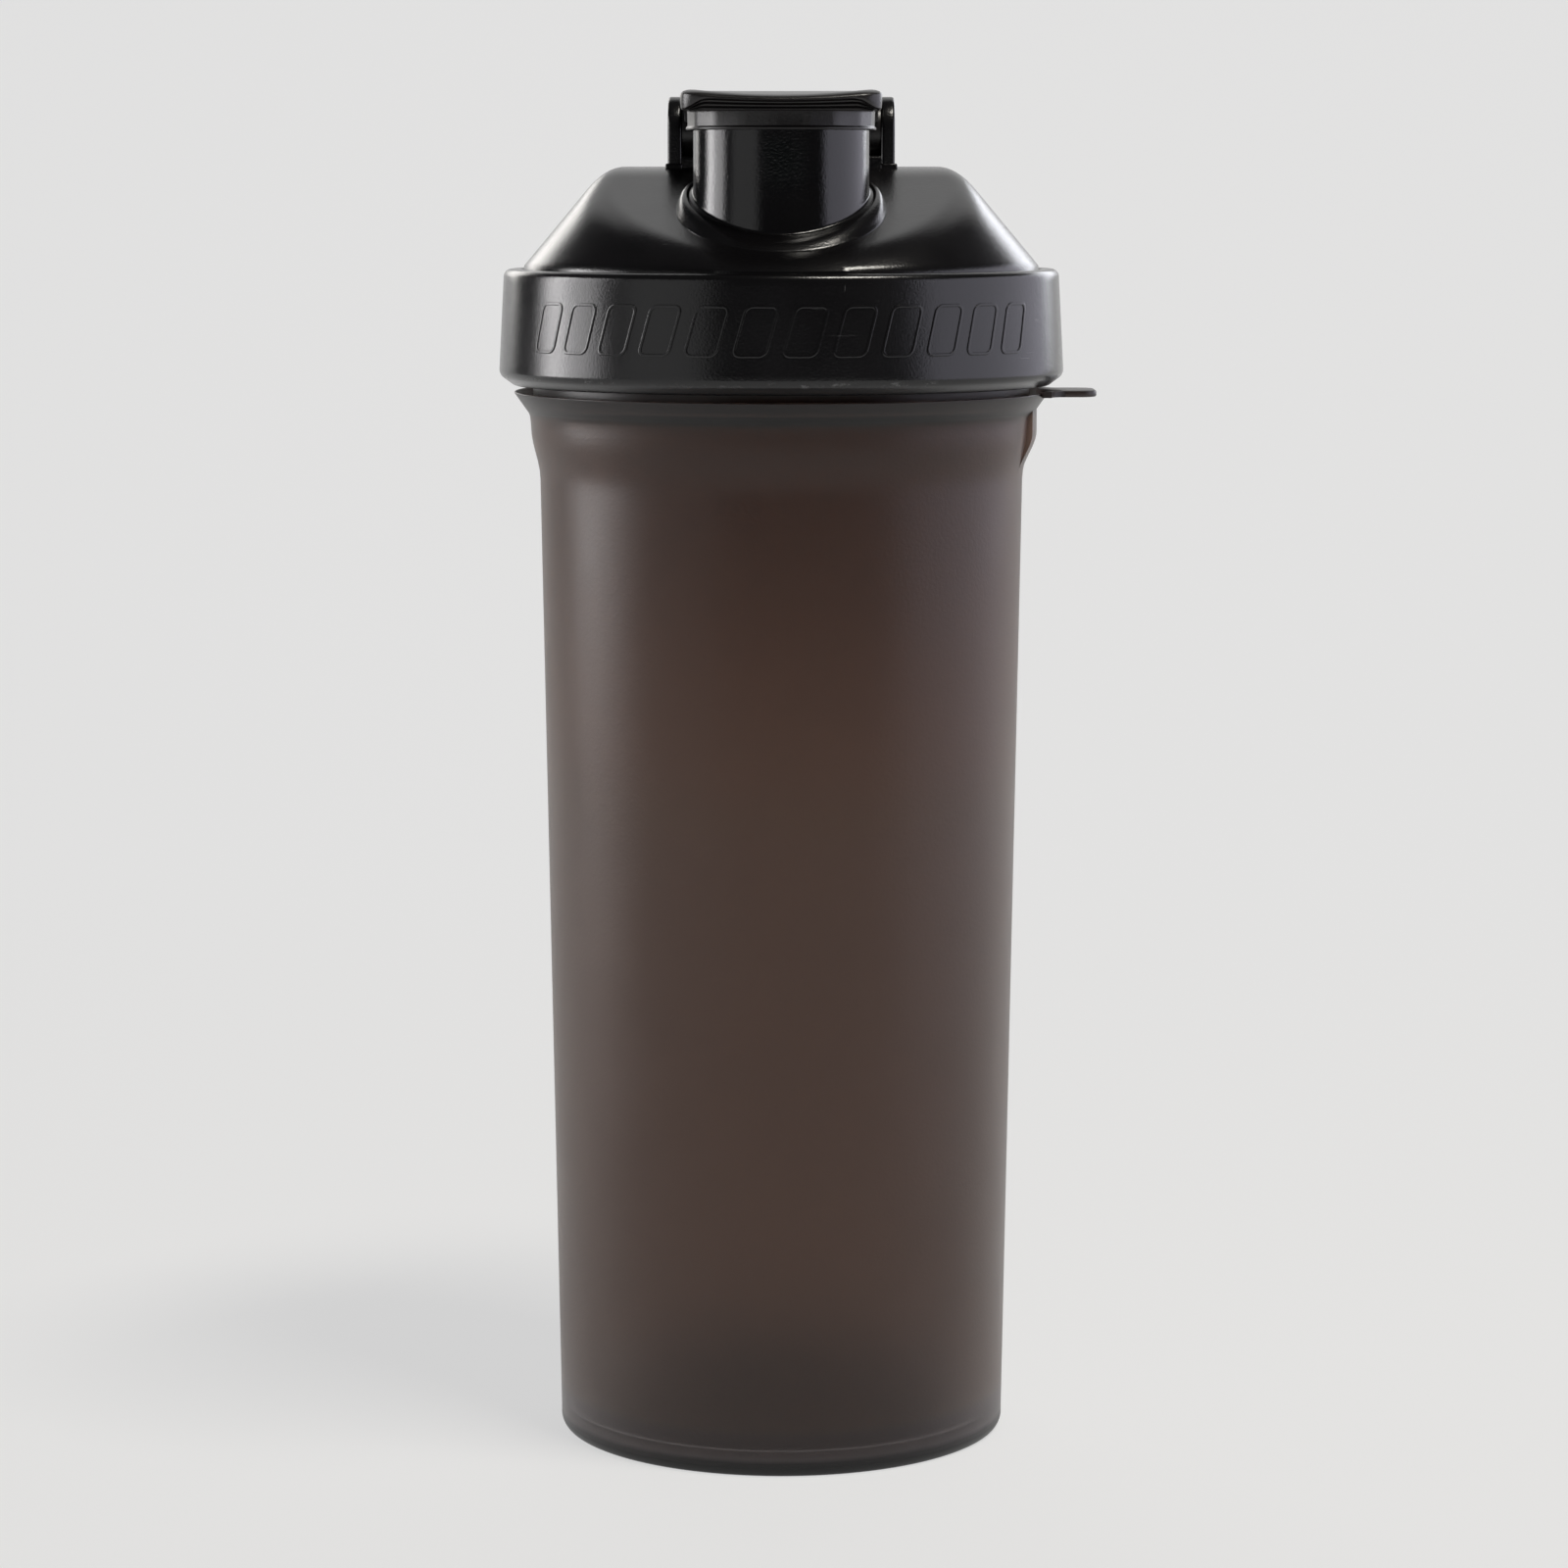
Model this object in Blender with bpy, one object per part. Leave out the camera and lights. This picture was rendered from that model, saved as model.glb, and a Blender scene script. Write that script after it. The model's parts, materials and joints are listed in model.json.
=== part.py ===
"""A one-litre protein shaker: a tapered cup, a screw lid with a drinking spout,
a hinged flip cap, a mixing strainer and two soft seals.

Run with: blender --background --python part.py
Every size below is in millimetres and is turned into metres by MM when a mesh is made.
The bottle stands on z = 0 with its front towards -Y and its carry tab towards +X.
"""
import math

import bmesh
import bpy
from mathutils import Vector

MM = 0.001
ROUND_STEPS = 48
SPOUT_STEPS = 36
PIN_STEPS = 20

# Cup
FOOT_RADIUS = 42.1
TAPER = 0.0163
CUP_WALL = 1.5
UNDERSIDE_HEIGHT = 3.0
FLOOR_HEIGHT = 4.6
SHOULDER_LOW = 181.5
NECK_RADIUS = 46.2
NECK_INSIDE = 44.2
NECK_TOP = 213.0
COLLAR_RIM_RADIUS = 49.8
COLLAR_RIM_HEIGHT = 196.6

# Carry tab on the collar and the pad under it
TAB_REACH = 58.3
TAB_MIDDLE_Y = -3.3
TAB_HALF_WIDTH = 7.0
TAB_TOP = 197.0
TAB_THICKNESS = 1.2
TAB_CORNER = 3.5
TAB_FILLET = 4.0
PAD_RADIUS = 48.0
PAD_HALF_ANGLE = math.radians(9.2)
PAD_MIDDLE_ANGLE = math.radians(-3.9)

# Screw thread: two starts that rise THREAD_LEAD in one turn
THREAD_LEAD = 16.0
THREAD_STARTS = 2
THREAD_LOW = 200.6
THREAD_SWEEP = math.radians(202.5)
THREAD_ROOT_HALF = 1.3
THREAD_CREST_HALF = 0.6
THREAD_SINK = 0.5
CUP_THREAD_CREST = 48.0
LID_THREAD_CREST = 47.0
LID_THREAD_DROP = 2.0
LID_THREAD_START = math.radians(22.5)

# Lid
LID_BOTTOM = 197.9
LID_CHAMFER_TOP = 200.4
BAND_RADIUS = 52.5
BAND_TOP_RADIUS = 51.4
BAND_TOP = 218.7
LID_INSIDE = 49.4
CHANNEL_TOP = 215.5
FIN_OUTSIDE = 43.7
FIN_INSIDE = 42.2
FIN_BOTTOM = 206.0
DOME_FOOT_RADIUS = 48.9
CONE_MARK_RADIUS = 37.3
CONE_MARK_HEIGHT = 232.2
CONE_SLOPE = 1.19
PLATEAU = 238.0
FRONT_SLOPE = 0.35
EDGE_BLEND = 3.2
CREASE_BLEND = 1.0
CONE_DROP = 3.1
TOP_DROP = 2.0

# Spout and hinge ears on the lid
SPOUT_Y = -22.0
SPOUT_RADIUS = 15.9
SPOUT_BORE = 13.5
SPOUT_TOP = 247.0
EAR_INSIDE = 18.55
EAR_OUTSIDE = 21.2
EAR_RADIUS = 6.4
SOCKET_RADIUS = 2.75
SOCKET_END = 20.3

# Flip cap, hinged on two stub pins
PIVOT_Y = 8.0
PIVOT_Z = 244.5
CAP_HALF_WIDTH = 18.0
CAP_FRONT_Y = -44.0
CAP_BACK_Y = 10.5
CAP_CORNER = 3.5
CAP_FRONT_BOW = 1.6
CAP_UNDERSIDE = 247.6
CAP_FRONT_TOP = 249.7
CAP_SADDLE = 1.7
CAP_BACK_RISE = 2.3
CAP_BACK_ROUND = 0.12
SKIRT_RADIUS = 17.5
SKIRT_INSIDE = 16.4
SKIRT_BOTTOM = 245.0
BOSS_RADIUS = 8.0
BOSS_BOTTOM = 245.6
KNUCKLE_RADIUS = 5.8
KNUCKLE_HALF_WIDTH = 17.9
STUB_RADIUS = 2.4
STUB_END = 19.9

# Soft seals
PLUG_RADIUS = 13.1
PLUG_BOTTOM = 244.0
PLUG_TOP = 247.3
SEAL_INSIDE = 44.0
SEAL_OUTSIDE = 49.0
SEAL_LOW = 213.3
SEAL_HIGH = 215.2

# Strainer
STRAINER_RADIUS = 41.8
STRAINER_RIM = 1.6
STRAINER_LOW = 206.3
STRAINER_HIGH = 212.5
GRID_LOW = 208.0
GRID_HIGH = 209.4
HOLE_RADIUS = 4.3
HOLE_SPACING = 10.9
HOLE_RINGS = 3

# The tab makes the bottle wider on one side, so its axis stands off the origin by
# half of that: the origin is then the middle of the whole outline.
AXIS_X = -(TAB_REACH - BAND_RADIUS) / 2


def clear_scene():
    for item in list(bpy.data.objects):
        bpy.data.objects.remove(item, do_unlink=True)


def plastic(name, colour, roughness):
    """A Principled material with one colour and no metal in it."""
    material = bpy.data.materials.new(name)
    material.use_nodes = True
    shader = material.node_tree.nodes["Principled BSDF"]
    shader.inputs["Base Color"].default_value = (*colour, 1.0)
    shader.inputs["Roughness"].default_value = roughness
    shader.inputs["Metallic"].default_value = 0.0
    return material


def add_object(name, bm, material=None, origin=(0.0, 0.0, 0.0)):
    """Make an object of a bmesh in millimetres, with its origin at the point given."""
    bmesh.ops.recalc_face_normals(bm, faces=bm.faces)
    bmesh.ops.triangulate(bm, faces=bm.faces)
    bmesh.ops.translate(bm, vec=-Vector(origin), verts=bm.verts)
    bmesh.ops.scale(bm, vec=(MM, MM, MM), verts=bm.verts)
    mesh = bpy.data.meshes.new(name)
    bm.to_mesh(mesh)
    bm.free()
    mesh.shade_smooth()
    mesh.set_sharp_from_angle(angle=math.radians(35))
    if material:
        mesh.materials.append(material)
    item = bpy.data.objects.new(name, mesh)
    item.location = Vector(origin) * MM
    item.parent = bottle_axis
    bpy.context.collection.objects.link(item)
    return item


def combine(target, operation, name, bm):
    """Join a helper solid to the target or cut it out, and leave the helper as a guide."""
    helper = add_object(name, bm)
    helper.hide_render = True
    helper.display_type = "WIRE"
    modifier = target.modifiers.new(name, "BOOLEAN")
    modifier.operation = operation
    modifier.solver = "EXACT"
    modifier.object = helper


def turned(profile, centre=(0.0, 0.0), steps=ROUND_STEPS):
    """Turn a profile of (radius, height) points a full turn about an upright axis."""
    bm = bmesh.new()
    verts = [bm.verts.new((radius, 0.0, height)) for radius, height in profile]
    edges = [bm.edges.new(pair) for pair in zip(verts, verts[1:])]
    if profile[0][0] > 0:
        edges.append(bm.edges.new((verts[-1], verts[0])))
    bmesh.ops.spin(bm, geom=verts + edges, cent=(0, 0, 0), axis=(0, 0, 1),
                   angle=2 * math.pi, steps=steps, use_merge=True)
    bmesh.ops.remove_doubles(bm, verts=bm.verts, dist=0.0001)
    bmesh.ops.translate(bm, vec=(*centre, 0.0), verts=bm.verts)
    return bm


def lofted(rings, bm=None):
    """Close a solid over rings with the same number of points, flat at both ends."""
    bm = bm or bmesh.new()
    made = [[bm.verts.new(point) for point in ring] for ring in rings]
    for low, high in zip(made, made[1:]):
        for here in range(len(low)):
            after = (here + 1) % len(low)
            bm.faces.new((low[here], low[after], high[after], high[here]))
    bm.faces.new(made[0])
    bm.faces.new(made[-1])
    return bm


def circle(radius, height, centre, steps):
    """Points of a level circle."""
    turns = [2 * math.pi * step / steps for step in range(steps)]
    return [(centre[0] + radius * math.cos(turn), centre[1] + radius * math.sin(turn), height)
            for turn in turns]


def arc(centre, radius, start, end, steps):
    """Points of an arc in a plane, from one angle in degrees to another."""
    turns = [math.radians(start + (end - start) * step / steps) for step in range(steps + 1)]
    return [(centre[0] + radius * math.cos(turn), centre[1] + radius * math.sin(turn))
            for turn in turns]


def sideways_bar(outline, low_x, high_x):
    """Extrude an outline of (y, z) points along X."""
    return lofted([[(x, y, z) for y, z in outline] for x in (low_x, high_x)])


def wall_radius(height):
    """Outer radius of the cup's tapered wall."""
    return FOOT_RADIUS + TAPER * (height - 3.5)


def thread(root, crest, start, low, phase_drop=0.0):
    """Helical ridges, one for each start, that fade into the wall at both ends."""
    bm = bmesh.new()
    step = 2 * math.pi / ROUND_STEPS
    count = round((THREAD_SWEEP - start) / step)
    inward = 1 if crest > root else -1
    for number in range(THREAD_STARTS):
        rings = []
        for index in range(count + 1):
            sweep = start + index * step
            turn = sweep + number * 2 * math.pi / THREAD_STARTS
            middle = low + THREAD_LEAD * sweep / (2 * math.pi) - phase_drop
            fade = min(1.0, 0.15 + index / 3, 0.15 + (count - index) / 3)
            tip = root + (crest - root) * fade
            buried = root - inward * THREAD_SINK
            section = [(buried, -THREAD_ROOT_HALF), (tip, -THREAD_CREST_HALF),
                       (tip, THREAD_CREST_HALF), (buried, THREAD_ROOT_HALF)]
            rings.append([(radius * math.cos(turn), radius * math.sin(turn), middle + rise)
                          for radius, rise in section])
        lofted(rings, bm)
    return bm


def cup_profile():
    """Half section of the cup: underside, foot ring, wall, collar, neck and inside."""
    outside = [(0.0, UNDERSIDE_HEIGHT), (37.6, UNDERSIDE_HEIGHT), (38.3, 2.4), (38.4, 0.0),
               (41.4, 0.0), (42.0, 0.5), (42.25, 1.4), (42.15, 2.6)]
    levels = [5.0, 40.0, 80.0, 120.0, 160.0, SHOULDER_LOW]
    outside += [(wall_radius(level), level) for level in levels]
    neck_foot = [(45.5, 184.5), (46.2, 187.2), (46.6, 189.8), (47.0, 192.6)]
    collar = [(COLLAR_RIM_RADIUS, COLLAR_RIM_HEIGHT - 0.2), (49.7, COLLAR_RIM_HEIGHT + 0.1),
              (49.2, COLLAR_RIM_HEIGHT), (46.9, 194.5), (NECK_RADIUS, 194.3)]
    rim = [(NECK_RADIUS, NECK_TOP - 0.8), (NECK_RADIUS - 0.5, NECK_TOP),
           (NECK_INSIDE + 0.4, NECK_TOP), (NECK_INSIDE, NECK_TOP - 0.6)]
    inside = [(NECK_INSIDE, 192.0), (43.9, 187.0)]
    inside += [(wall_radius(level) - CUP_WALL, level) for level in (SHOULDER_LOW, 90.0, 8.0)]
    floor = [(39.8, 5.3), (38.0, FLOOR_HEIGHT), (0.0, FLOOR_HEIGHT)]
    return outside + neck_foot + collar + rim + inside + floor


def tab_outline():
    """Plan of the carry tab, from one end of its root round its tip to the other."""
    half = TAB_HALF_WIDTH
    upper = arc((49.6 + TAB_FILLET, half + TAB_FILLET), TAB_FILLET, 180, 270, 3)
    upper += arc((TAB_REACH - TAB_CORNER, half - TAB_CORNER), TAB_CORNER, 90, 0, 3)
    lower = [(x, -y) for x, y in reversed(upper)]
    outline = [(x, y + TAB_MIDDLE_Y) for x, y in upper + lower]
    root_radius = COLLAR_RIM_RADIUS - 1.6
    reach = math.asin((half + TAB_FILLET) / root_radius)
    middle = math.asin(TAB_MIDDLE_Y / root_radius)
    turns = [middle - reach + 2 * reach * step / 6 for step in range(7)]
    return outline + [(root_radius * math.cos(turn), root_radius * math.sin(turn)) for turn in turns]


def carry_tab():
    levels = (TAB_TOP - TAB_THICKNESS, TAB_TOP)
    return lofted([[(x, y, level) for x, y in tab_outline()] for level in levels])


def tab_pad():
    """Thickened pad on the wall below the tab, eased into the wall at its foot."""
    section = [(44.6, 181.0), (45.3, 181.8), (46.4, 183.6), (47.5, 186.6), (PAD_RADIUS, 189.0),
               (PAD_RADIUS, 193.9), (45.4, 193.9)]
    turns = [PAD_MIDDLE_ANGLE + PAD_HALF_ANGLE * (step / 2 - 1) for step in range(5)]
    return lofted([[(radius * math.cos(turn), radius * math.sin(turn), height)
                    for radius, height in section] for turn in turns])


def make_cup(material):
    cup = add_object("cup", turned(cup_profile()), material)
    combine(cup, "UNION", "cup_thread", thread(NECK_RADIUS, CUP_THREAD_CREST, 0.0, THREAD_LOW))
    combine(cup, "UNION", "carry_tab", carry_tab())
    combine(cup, "UNION", "tab_pad", tab_pad())


def blend_low(first, second, width):
    """The lower of two heights, eased where they cross."""
    nearness = max(width - abs(first - second), 0.0)
    return min(first, second) - nearness * nearness / (4 * width)


def dome_height(x, y, cone_drop=0.0, top_drop=0.0):
    """Height of the lid's dome: a cone cut off by a level top that slopes down in front."""
    cone = CONE_MARK_HEIGHT - cone_drop - CONE_SLOPE * (math.hypot(x, y) - CONE_MARK_RADIUS)
    top = blend_low(PLATEAU, PLATEAU + FRONT_SLOPE * y, CREASE_BLEND) - top_drop
    return blend_low(cone, top, EDGE_BLEND)


def lift_to_dome(bm, radius, floor, **drops):
    """Raise the points inside a radius and above a floor to the dome."""
    for vert in bm.verts:
        if vert.co.z > floor and math.hypot(vert.co.x, vert.co.y) < radius + 0.01:
            vert.co.z = dome_height(vert.co.x, vert.co.y, **drops)


def lid_block():
    """The lid's outside as a solid block: chamfer, band, ledge and dome."""
    rings = (46.0, 43.0, 40.0, 37.5, 35.0, 32.5, 30.0, 26.0, 21.0, 14.0, 7.0, 0.0)
    band = [(0.0, LID_BOTTOM), (50.2, LID_BOTTOM), (BAND_RADIUS, LID_CHAMFER_TOP),
            (BAND_TOP_RADIUS + 0.2, BAND_TOP - 1.2), (BAND_TOP_RADIUS - 0.1, BAND_TOP - 0.3),
            (BAND_TOP_RADIUS - 0.7, BAND_TOP), (49.5, BAND_TOP), (DOME_FOOT_RADIUS, BAND_TOP - 0.4)]
    bm = turned(band + [(radius, PLATEAU) for radius in rings])
    lift_to_dome(bm, rings[0], BAND_TOP + 0.1)
    return bm


def lid_cavity():
    """All that the lid leaves free inside: the neck's channel and the space under the dome."""
    rings = (FIN_INSIDE, 39.0, 36.0, 33.0, 30.0, 24.0, 16.0, 8.0, 0.0)
    low = LID_BOTTOM - 8.0
    profile = [(0.0, low), (LID_INSIDE, low), (LID_INSIDE, CHANNEL_TOP), (FIN_OUTSIDE, CHANNEL_TOP),
               (FIN_OUTSIDE, FIN_BOTTOM), (FIN_INSIDE, FIN_BOTTOM)]
    bm = turned(profile + [(radius, PLATEAU) for radius in rings])
    lift_to_dome(bm, FIN_INSIDE, BAND_TOP, cone_drop=CONE_DROP, top_drop=TOP_DROP)
    return bm


def spout_block():
    """The spout as a solid post, with a low raised collar that follows the dome round its foot."""
    centre = (0.0, SPOUT_Y)
    collar = [(18.2, -0.4), (17.7, 0.5), (16.9, 1.0), (SPOUT_RADIUS, 1.7)]
    rings = [circle(18.2, 216.0, centre, SPOUT_STEPS)]
    for radius, rise in collar:
        ring = circle(radius, 0.0, centre, SPOUT_STEPS)
        rings.append([(x, y, dome_height(x, y) + rise) for x, y, _ in ring])
    rings.append(circle(SPOUT_RADIUS, SPOUT_TOP - 0.4, centre, SPOUT_STEPS))
    rings.append(circle(SPOUT_RADIUS - 0.4, SPOUT_TOP, centre, SPOUT_STEPS))
    return lofted(rings)


def upright_cylinder(radius, low, high, centre, steps):
    return lofted([circle(radius, level, centre, steps) for level in (low, high)])


def ear(side):
    """One hinge ear: a lug with a round top."""
    outline = arc((PIVOT_Y, PIVOT_Z), EAR_RADIUS, 0, 180, 12)
    outline += [(PIVOT_Y - EAR_RADIUS, PLATEAU - 1.2), (PIVOT_Y + EAR_RADIUS, PLATEAU - 1.2)]
    return sideways_bar(outline, side * EAR_INSIDE, side * EAR_OUTSIDE)


def pin_outline(radius):
    return arc((PIVOT_Y, PIVOT_Z), radius, 0, 360 - 360 / PIN_STEPS, PIN_STEPS - 1)


def make_lid(material):
    lid = add_object("lid", lid_block(), material)
    combine(lid, "UNION", "spout_block", spout_block())
    combine(lid, "UNION", "left_ear", ear(-1))
    combine(lid, "UNION", "right_ear", ear(1))
    combine(lid, "DIFFERENCE", "lid_cavity", lid_cavity())
    bore = upright_cylinder(SPOUT_BORE, LID_BOTTOM, SPOUT_TOP + 3.0, (0.0, SPOUT_Y), SPOUT_STEPS)
    combine(lid, "DIFFERENCE", "spout_bore", bore)
    sockets = sideways_bar(pin_outline(SOCKET_RADIUS), -SOCKET_END, SOCKET_END)
    combine(lid, "DIFFERENCE", "pin_sockets", sockets)
    ridges = thread(LID_INSIDE, LID_THREAD_CREST, LID_THREAD_START, THREAD_LOW, LID_THREAD_DROP)
    combine(lid, "UNION", "lid_thread", ridges)


def cap_outline(inset):
    """Plan of the cap's top plate, bowed in front, pulled in all round by an inset."""
    half = CAP_HALF_WIDTH
    corner_y = CAP_FRONT_Y + CAP_FRONT_BOW + CAP_CORNER
    front = (-10.0, -5.0, 0.0, 5.0, 10.0)
    outline = arc((-half + CAP_CORNER, corner_y), CAP_CORNER, 180, 260, 3)
    outline += [(x, CAP_FRONT_Y + CAP_FRONT_BOW * (x / half) ** 2) for x in front]
    outline += arc((half - CAP_CORNER, corner_y), CAP_CORNER, -80, 0, 3)
    side_levels = (-26.0, -12.0, 0.0, CAP_BACK_Y - 4.0, CAP_BACK_Y)
    outline += [(half, y) for y in side_levels]
    outline += [(x, CAP_BACK_Y) for x in (10.0, 0.0, -10.0)]
    outline += [(-half, y) for y in reversed(side_levels)]
    middle = (CAP_FRONT_Y + CAP_BACK_Y) / 2
    length = (CAP_BACK_Y - CAP_FRONT_Y) / 2
    return [(x * (1 - inset / half), middle + (y - middle) * (1 - inset / length)) for x, y in outline]


def cap_top(x, y):
    """Height of the cap's top: a saddle in front that rises to the back and rounds off there."""
    back = min(1.0, (y - CAP_FRONT_Y) / (PIVOT_Y - CAP_FRONT_Y))
    saddle = CAP_SADDLE * (x / CAP_HALF_WIDTH) ** 2 * (1 - back)
    rounding = CAP_BACK_ROUND * max(0.0, y - PIVOT_Y + 2.0) ** 2
    return CAP_FRONT_TOP + saddle + CAP_BACK_RISE * back - rounding


def cap_plate():
    """The cap's top plate, with its lip stepped back towards its underside."""
    layers = [(1.6, 0.0), (0.7, 0.35), (0.0, 0.6), (0.0, 0.85), (0.5, 1.0), (6.0, 1.0), (12.0, 1.0),
              (17.0, 1.0)]
    rings = []
    for inset, share in layers:
        rings.append([(x, y, CAP_UNDERSIDE + share * (cap_top(x, y) - CAP_UNDERSIDE))
                      for x, y in cap_outline(inset)])
    return lofted(rings)


def hinge_knuckle():
    """The cap's back end: it hangs between the ears and turns on the stub pins."""
    outline = arc((PIVOT_Y, PIVOT_Z), KNUCKLE_RADIUS, -150, 35, 14)
    outline += [(PIVOT_Y + 2.0, CAP_UNDERSIDE + 1.2), (-2.0, CAP_UNDERSIDE + 1.2), (-2.0, 246.4)]
    return sideways_bar(outline, -KNUCKLE_HALF_WIDTH, KNUCKLE_HALF_WIDTH)


def cap_skirt():
    profile = [(SKIRT_RADIUS, CAP_UNDERSIDE + 0.6), (SKIRT_RADIUS, SKIRT_BOTTOM + 0.2),
               (SKIRT_RADIUS - 0.2, SKIRT_BOTTOM), (SKIRT_INSIDE, SKIRT_BOTTOM),
               (SKIRT_INSIDE, CAP_UNDERSIDE + 0.6)]
    return turned(profile, (0.0, SPOUT_Y), SPOUT_STEPS)


def make_flip_cap(material):
    pivot = (0.0, PIVOT_Y, PIVOT_Z)
    cap = add_object("flip_cap", cap_plate(), material, pivot)
    combine(cap, "UNION", "hinge_knuckle", hinge_knuckle())
    combine(cap, "UNION", "cap_skirt", cap_skirt())
    boss = upright_cylinder(BOSS_RADIUS, BOSS_BOTTOM, CAP_UNDERSIDE + 0.6, (0.0, SPOUT_Y), PIN_STEPS)
    combine(cap, "UNION", "seal_boss", boss)
    stubs = sideways_bar(pin_outline(STUB_RADIUS), -STUB_END, STUB_END)
    combine(cap, "UNION", "stub_pins", stubs)


def make_spout_seal(material):
    """Soft plug pressed on the cap's boss; it closes the spout's bore."""
    profile = [(0.0, PLUG_BOTTOM), (PLUG_RADIUS - 0.9, PLUG_BOTTOM), (PLUG_RADIUS, PLUG_BOTTOM + 0.9),
               (PLUG_RADIUS, PLUG_TOP), (BOSS_RADIUS + 0.4, PLUG_TOP),
               (BOSS_RADIUS + 0.4, BOSS_BOTTOM - 0.3), (0.0, BOSS_BOTTOM - 0.3)]
    pivot = (0.0, PIVOT_Y, PIVOT_Z)
    add_object("spout_seal", turned(profile, (0.0, SPOUT_Y), SPOUT_STEPS), material, pivot)


def make_lid_seal(material):
    """Soft ring in the roof of the lid's channel; the cup's rim is pressed against it."""
    profile = [(SEAL_INSIDE + 0.3, SEAL_LOW), (SEAL_OUTSIDE - 0.3, SEAL_LOW),
               (SEAL_OUTSIDE, SEAL_LOW + 0.3), (SEAL_OUTSIDE, SEAL_HIGH - 0.3),
               (SEAL_OUTSIDE - 0.3, SEAL_HIGH), (SEAL_INSIDE + 0.3, SEAL_HIGH),
               (SEAL_INSIDE, SEAL_HIGH - 0.3), (SEAL_INSIDE, SEAL_LOW + 0.3)]
    add_object("lid_seal", turned(profile), material)


def grid_holes():
    """Six-sided holes in rings round the middle of the strainer."""
    bm = bmesh.new()
    for row in range(-HOLE_RINGS, HOLE_RINGS + 1):
        for column in range(-HOLE_RINGS, HOLE_RINGS + 1):
            if abs(row + column) <= HOLE_RINGS:
                centre = (HOLE_SPACING * (column + row / 2), HOLE_SPACING * row * math.sqrt(0.75))
                levels = (GRID_LOW - 1.0, GRID_HIGH + 1.0)
                lofted([circle(HOLE_RADIUS, level, centre, 6) for level in levels], bm)
    return bm


def make_strainer(material):
    """Mixing grid in a rim that snaps inside the lid's fin."""
    inside = STRAINER_RADIUS - STRAINER_RIM
    profile = [(0.0, GRID_LOW), (inside, GRID_LOW), (inside, STRAINER_LOW),
               (STRAINER_RADIUS, STRAINER_LOW), (STRAINER_RADIUS, STRAINER_HIGH),
               (inside, STRAINER_HIGH), (inside, GRID_HIGH), (0.0, GRID_HIGH)]
    strainer = add_object("strainer", turned(profile), material)
    combine(strainer, "DIFFERENCE", "grid_holes", grid_holes())


clear_scene()
bottle_axis = bpy.data.objects.new("bottle_axis", None)
bottle_axis.location = (AXIS_X * MM, 0.0, 0.0)
bpy.context.collection.objects.link(bottle_axis)

smoke_plastic = plastic("smoke_plastic", (0.06, 0.045, 0.038), 0.45)
black_plastic = plastic("black_plastic", (0.012, 0.012, 0.013), 0.25)
soft_black = plastic("soft_black", (0.02, 0.02, 0.02), 0.6)

make_cup(smoke_plastic)
make_lid(black_plastic)
make_flip_cap(black_plastic)
make_spout_seal(soft_black)
make_lid_seal(soft_black)
make_strainer(black_plastic)
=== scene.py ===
# %% [markdown]
# # A protein shaker, piece by piece
# This lesson rebuilds a one-litre shaker bottle over a fixed frame. The frame holds the real sizes and
# the joints. Every piece made here takes the place of one plain solid of the frame, and moves with it.
# Lengths are written in millimetres on the bottle's own axis, as on a drawing, and are turned into
# metres when a mesh becomes an object.

# %% Load the frame
import json
import math

import bmesh
import bpy
from mathutils import Matrix, Vector


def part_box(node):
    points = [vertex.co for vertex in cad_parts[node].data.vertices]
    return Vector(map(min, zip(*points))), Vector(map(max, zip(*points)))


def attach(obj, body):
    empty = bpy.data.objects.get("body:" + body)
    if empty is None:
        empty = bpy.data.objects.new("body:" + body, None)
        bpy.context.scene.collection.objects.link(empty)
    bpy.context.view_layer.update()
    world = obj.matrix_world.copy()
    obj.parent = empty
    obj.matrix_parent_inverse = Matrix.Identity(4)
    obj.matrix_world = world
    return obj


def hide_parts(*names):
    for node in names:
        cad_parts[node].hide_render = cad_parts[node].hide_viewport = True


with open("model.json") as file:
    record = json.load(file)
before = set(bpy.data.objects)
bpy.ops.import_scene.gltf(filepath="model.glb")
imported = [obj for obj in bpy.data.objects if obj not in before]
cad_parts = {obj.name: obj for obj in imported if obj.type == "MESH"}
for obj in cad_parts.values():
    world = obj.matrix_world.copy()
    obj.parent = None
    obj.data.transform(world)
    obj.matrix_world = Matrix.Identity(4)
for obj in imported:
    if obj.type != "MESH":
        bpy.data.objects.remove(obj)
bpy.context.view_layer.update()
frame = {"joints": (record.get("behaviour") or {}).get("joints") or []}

# %% [markdown]
# ## Where things are
# The lid's screw joint gives the bottle's axis and the cap's hinge gives the pivot. Everything else is
# measured from the boxes of the frame's solids, so the pieces land where the real ones do.

# %% Read the axis, the pivot and the heights
MM = 0.001
joints = {joint["name"]: joint for joint in frame["joints"]}
AXIS = Vector(joints["lid_turn"]["pos_m"]) * Vector((1, 1, 0))
PIVOT_Y, PIVOT_Z = (value / MM for value in joints["cap_hinge"]["pos_m"][1:])


def height_range(node):
    """Lowest and highest point of a frame solid, in millimetres."""
    low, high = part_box(node)
    return low.z / MM, high.z / MM


NECK_TOP = height_range("cup")[1]
LID_BOTTOM = height_range("lid")[0]
BAND_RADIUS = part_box("lid")[1].y / MM
STRAINER_LOW, STRAINER_HIGH = height_range("strainer")
SEAL_LOW, SEAL_HIGH = height_range("lid_seal")
PLUG_LOW, PLUG_HIGH = height_range("spout_seal")
TAB_REACH = (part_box("cup")[1].x - AXIS.x) / MM
print("pivot", round(PIVOT_Y, 2), round(PIVOT_Z, 2), "band radius", round(BAND_RADIUS, 2))

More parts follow.
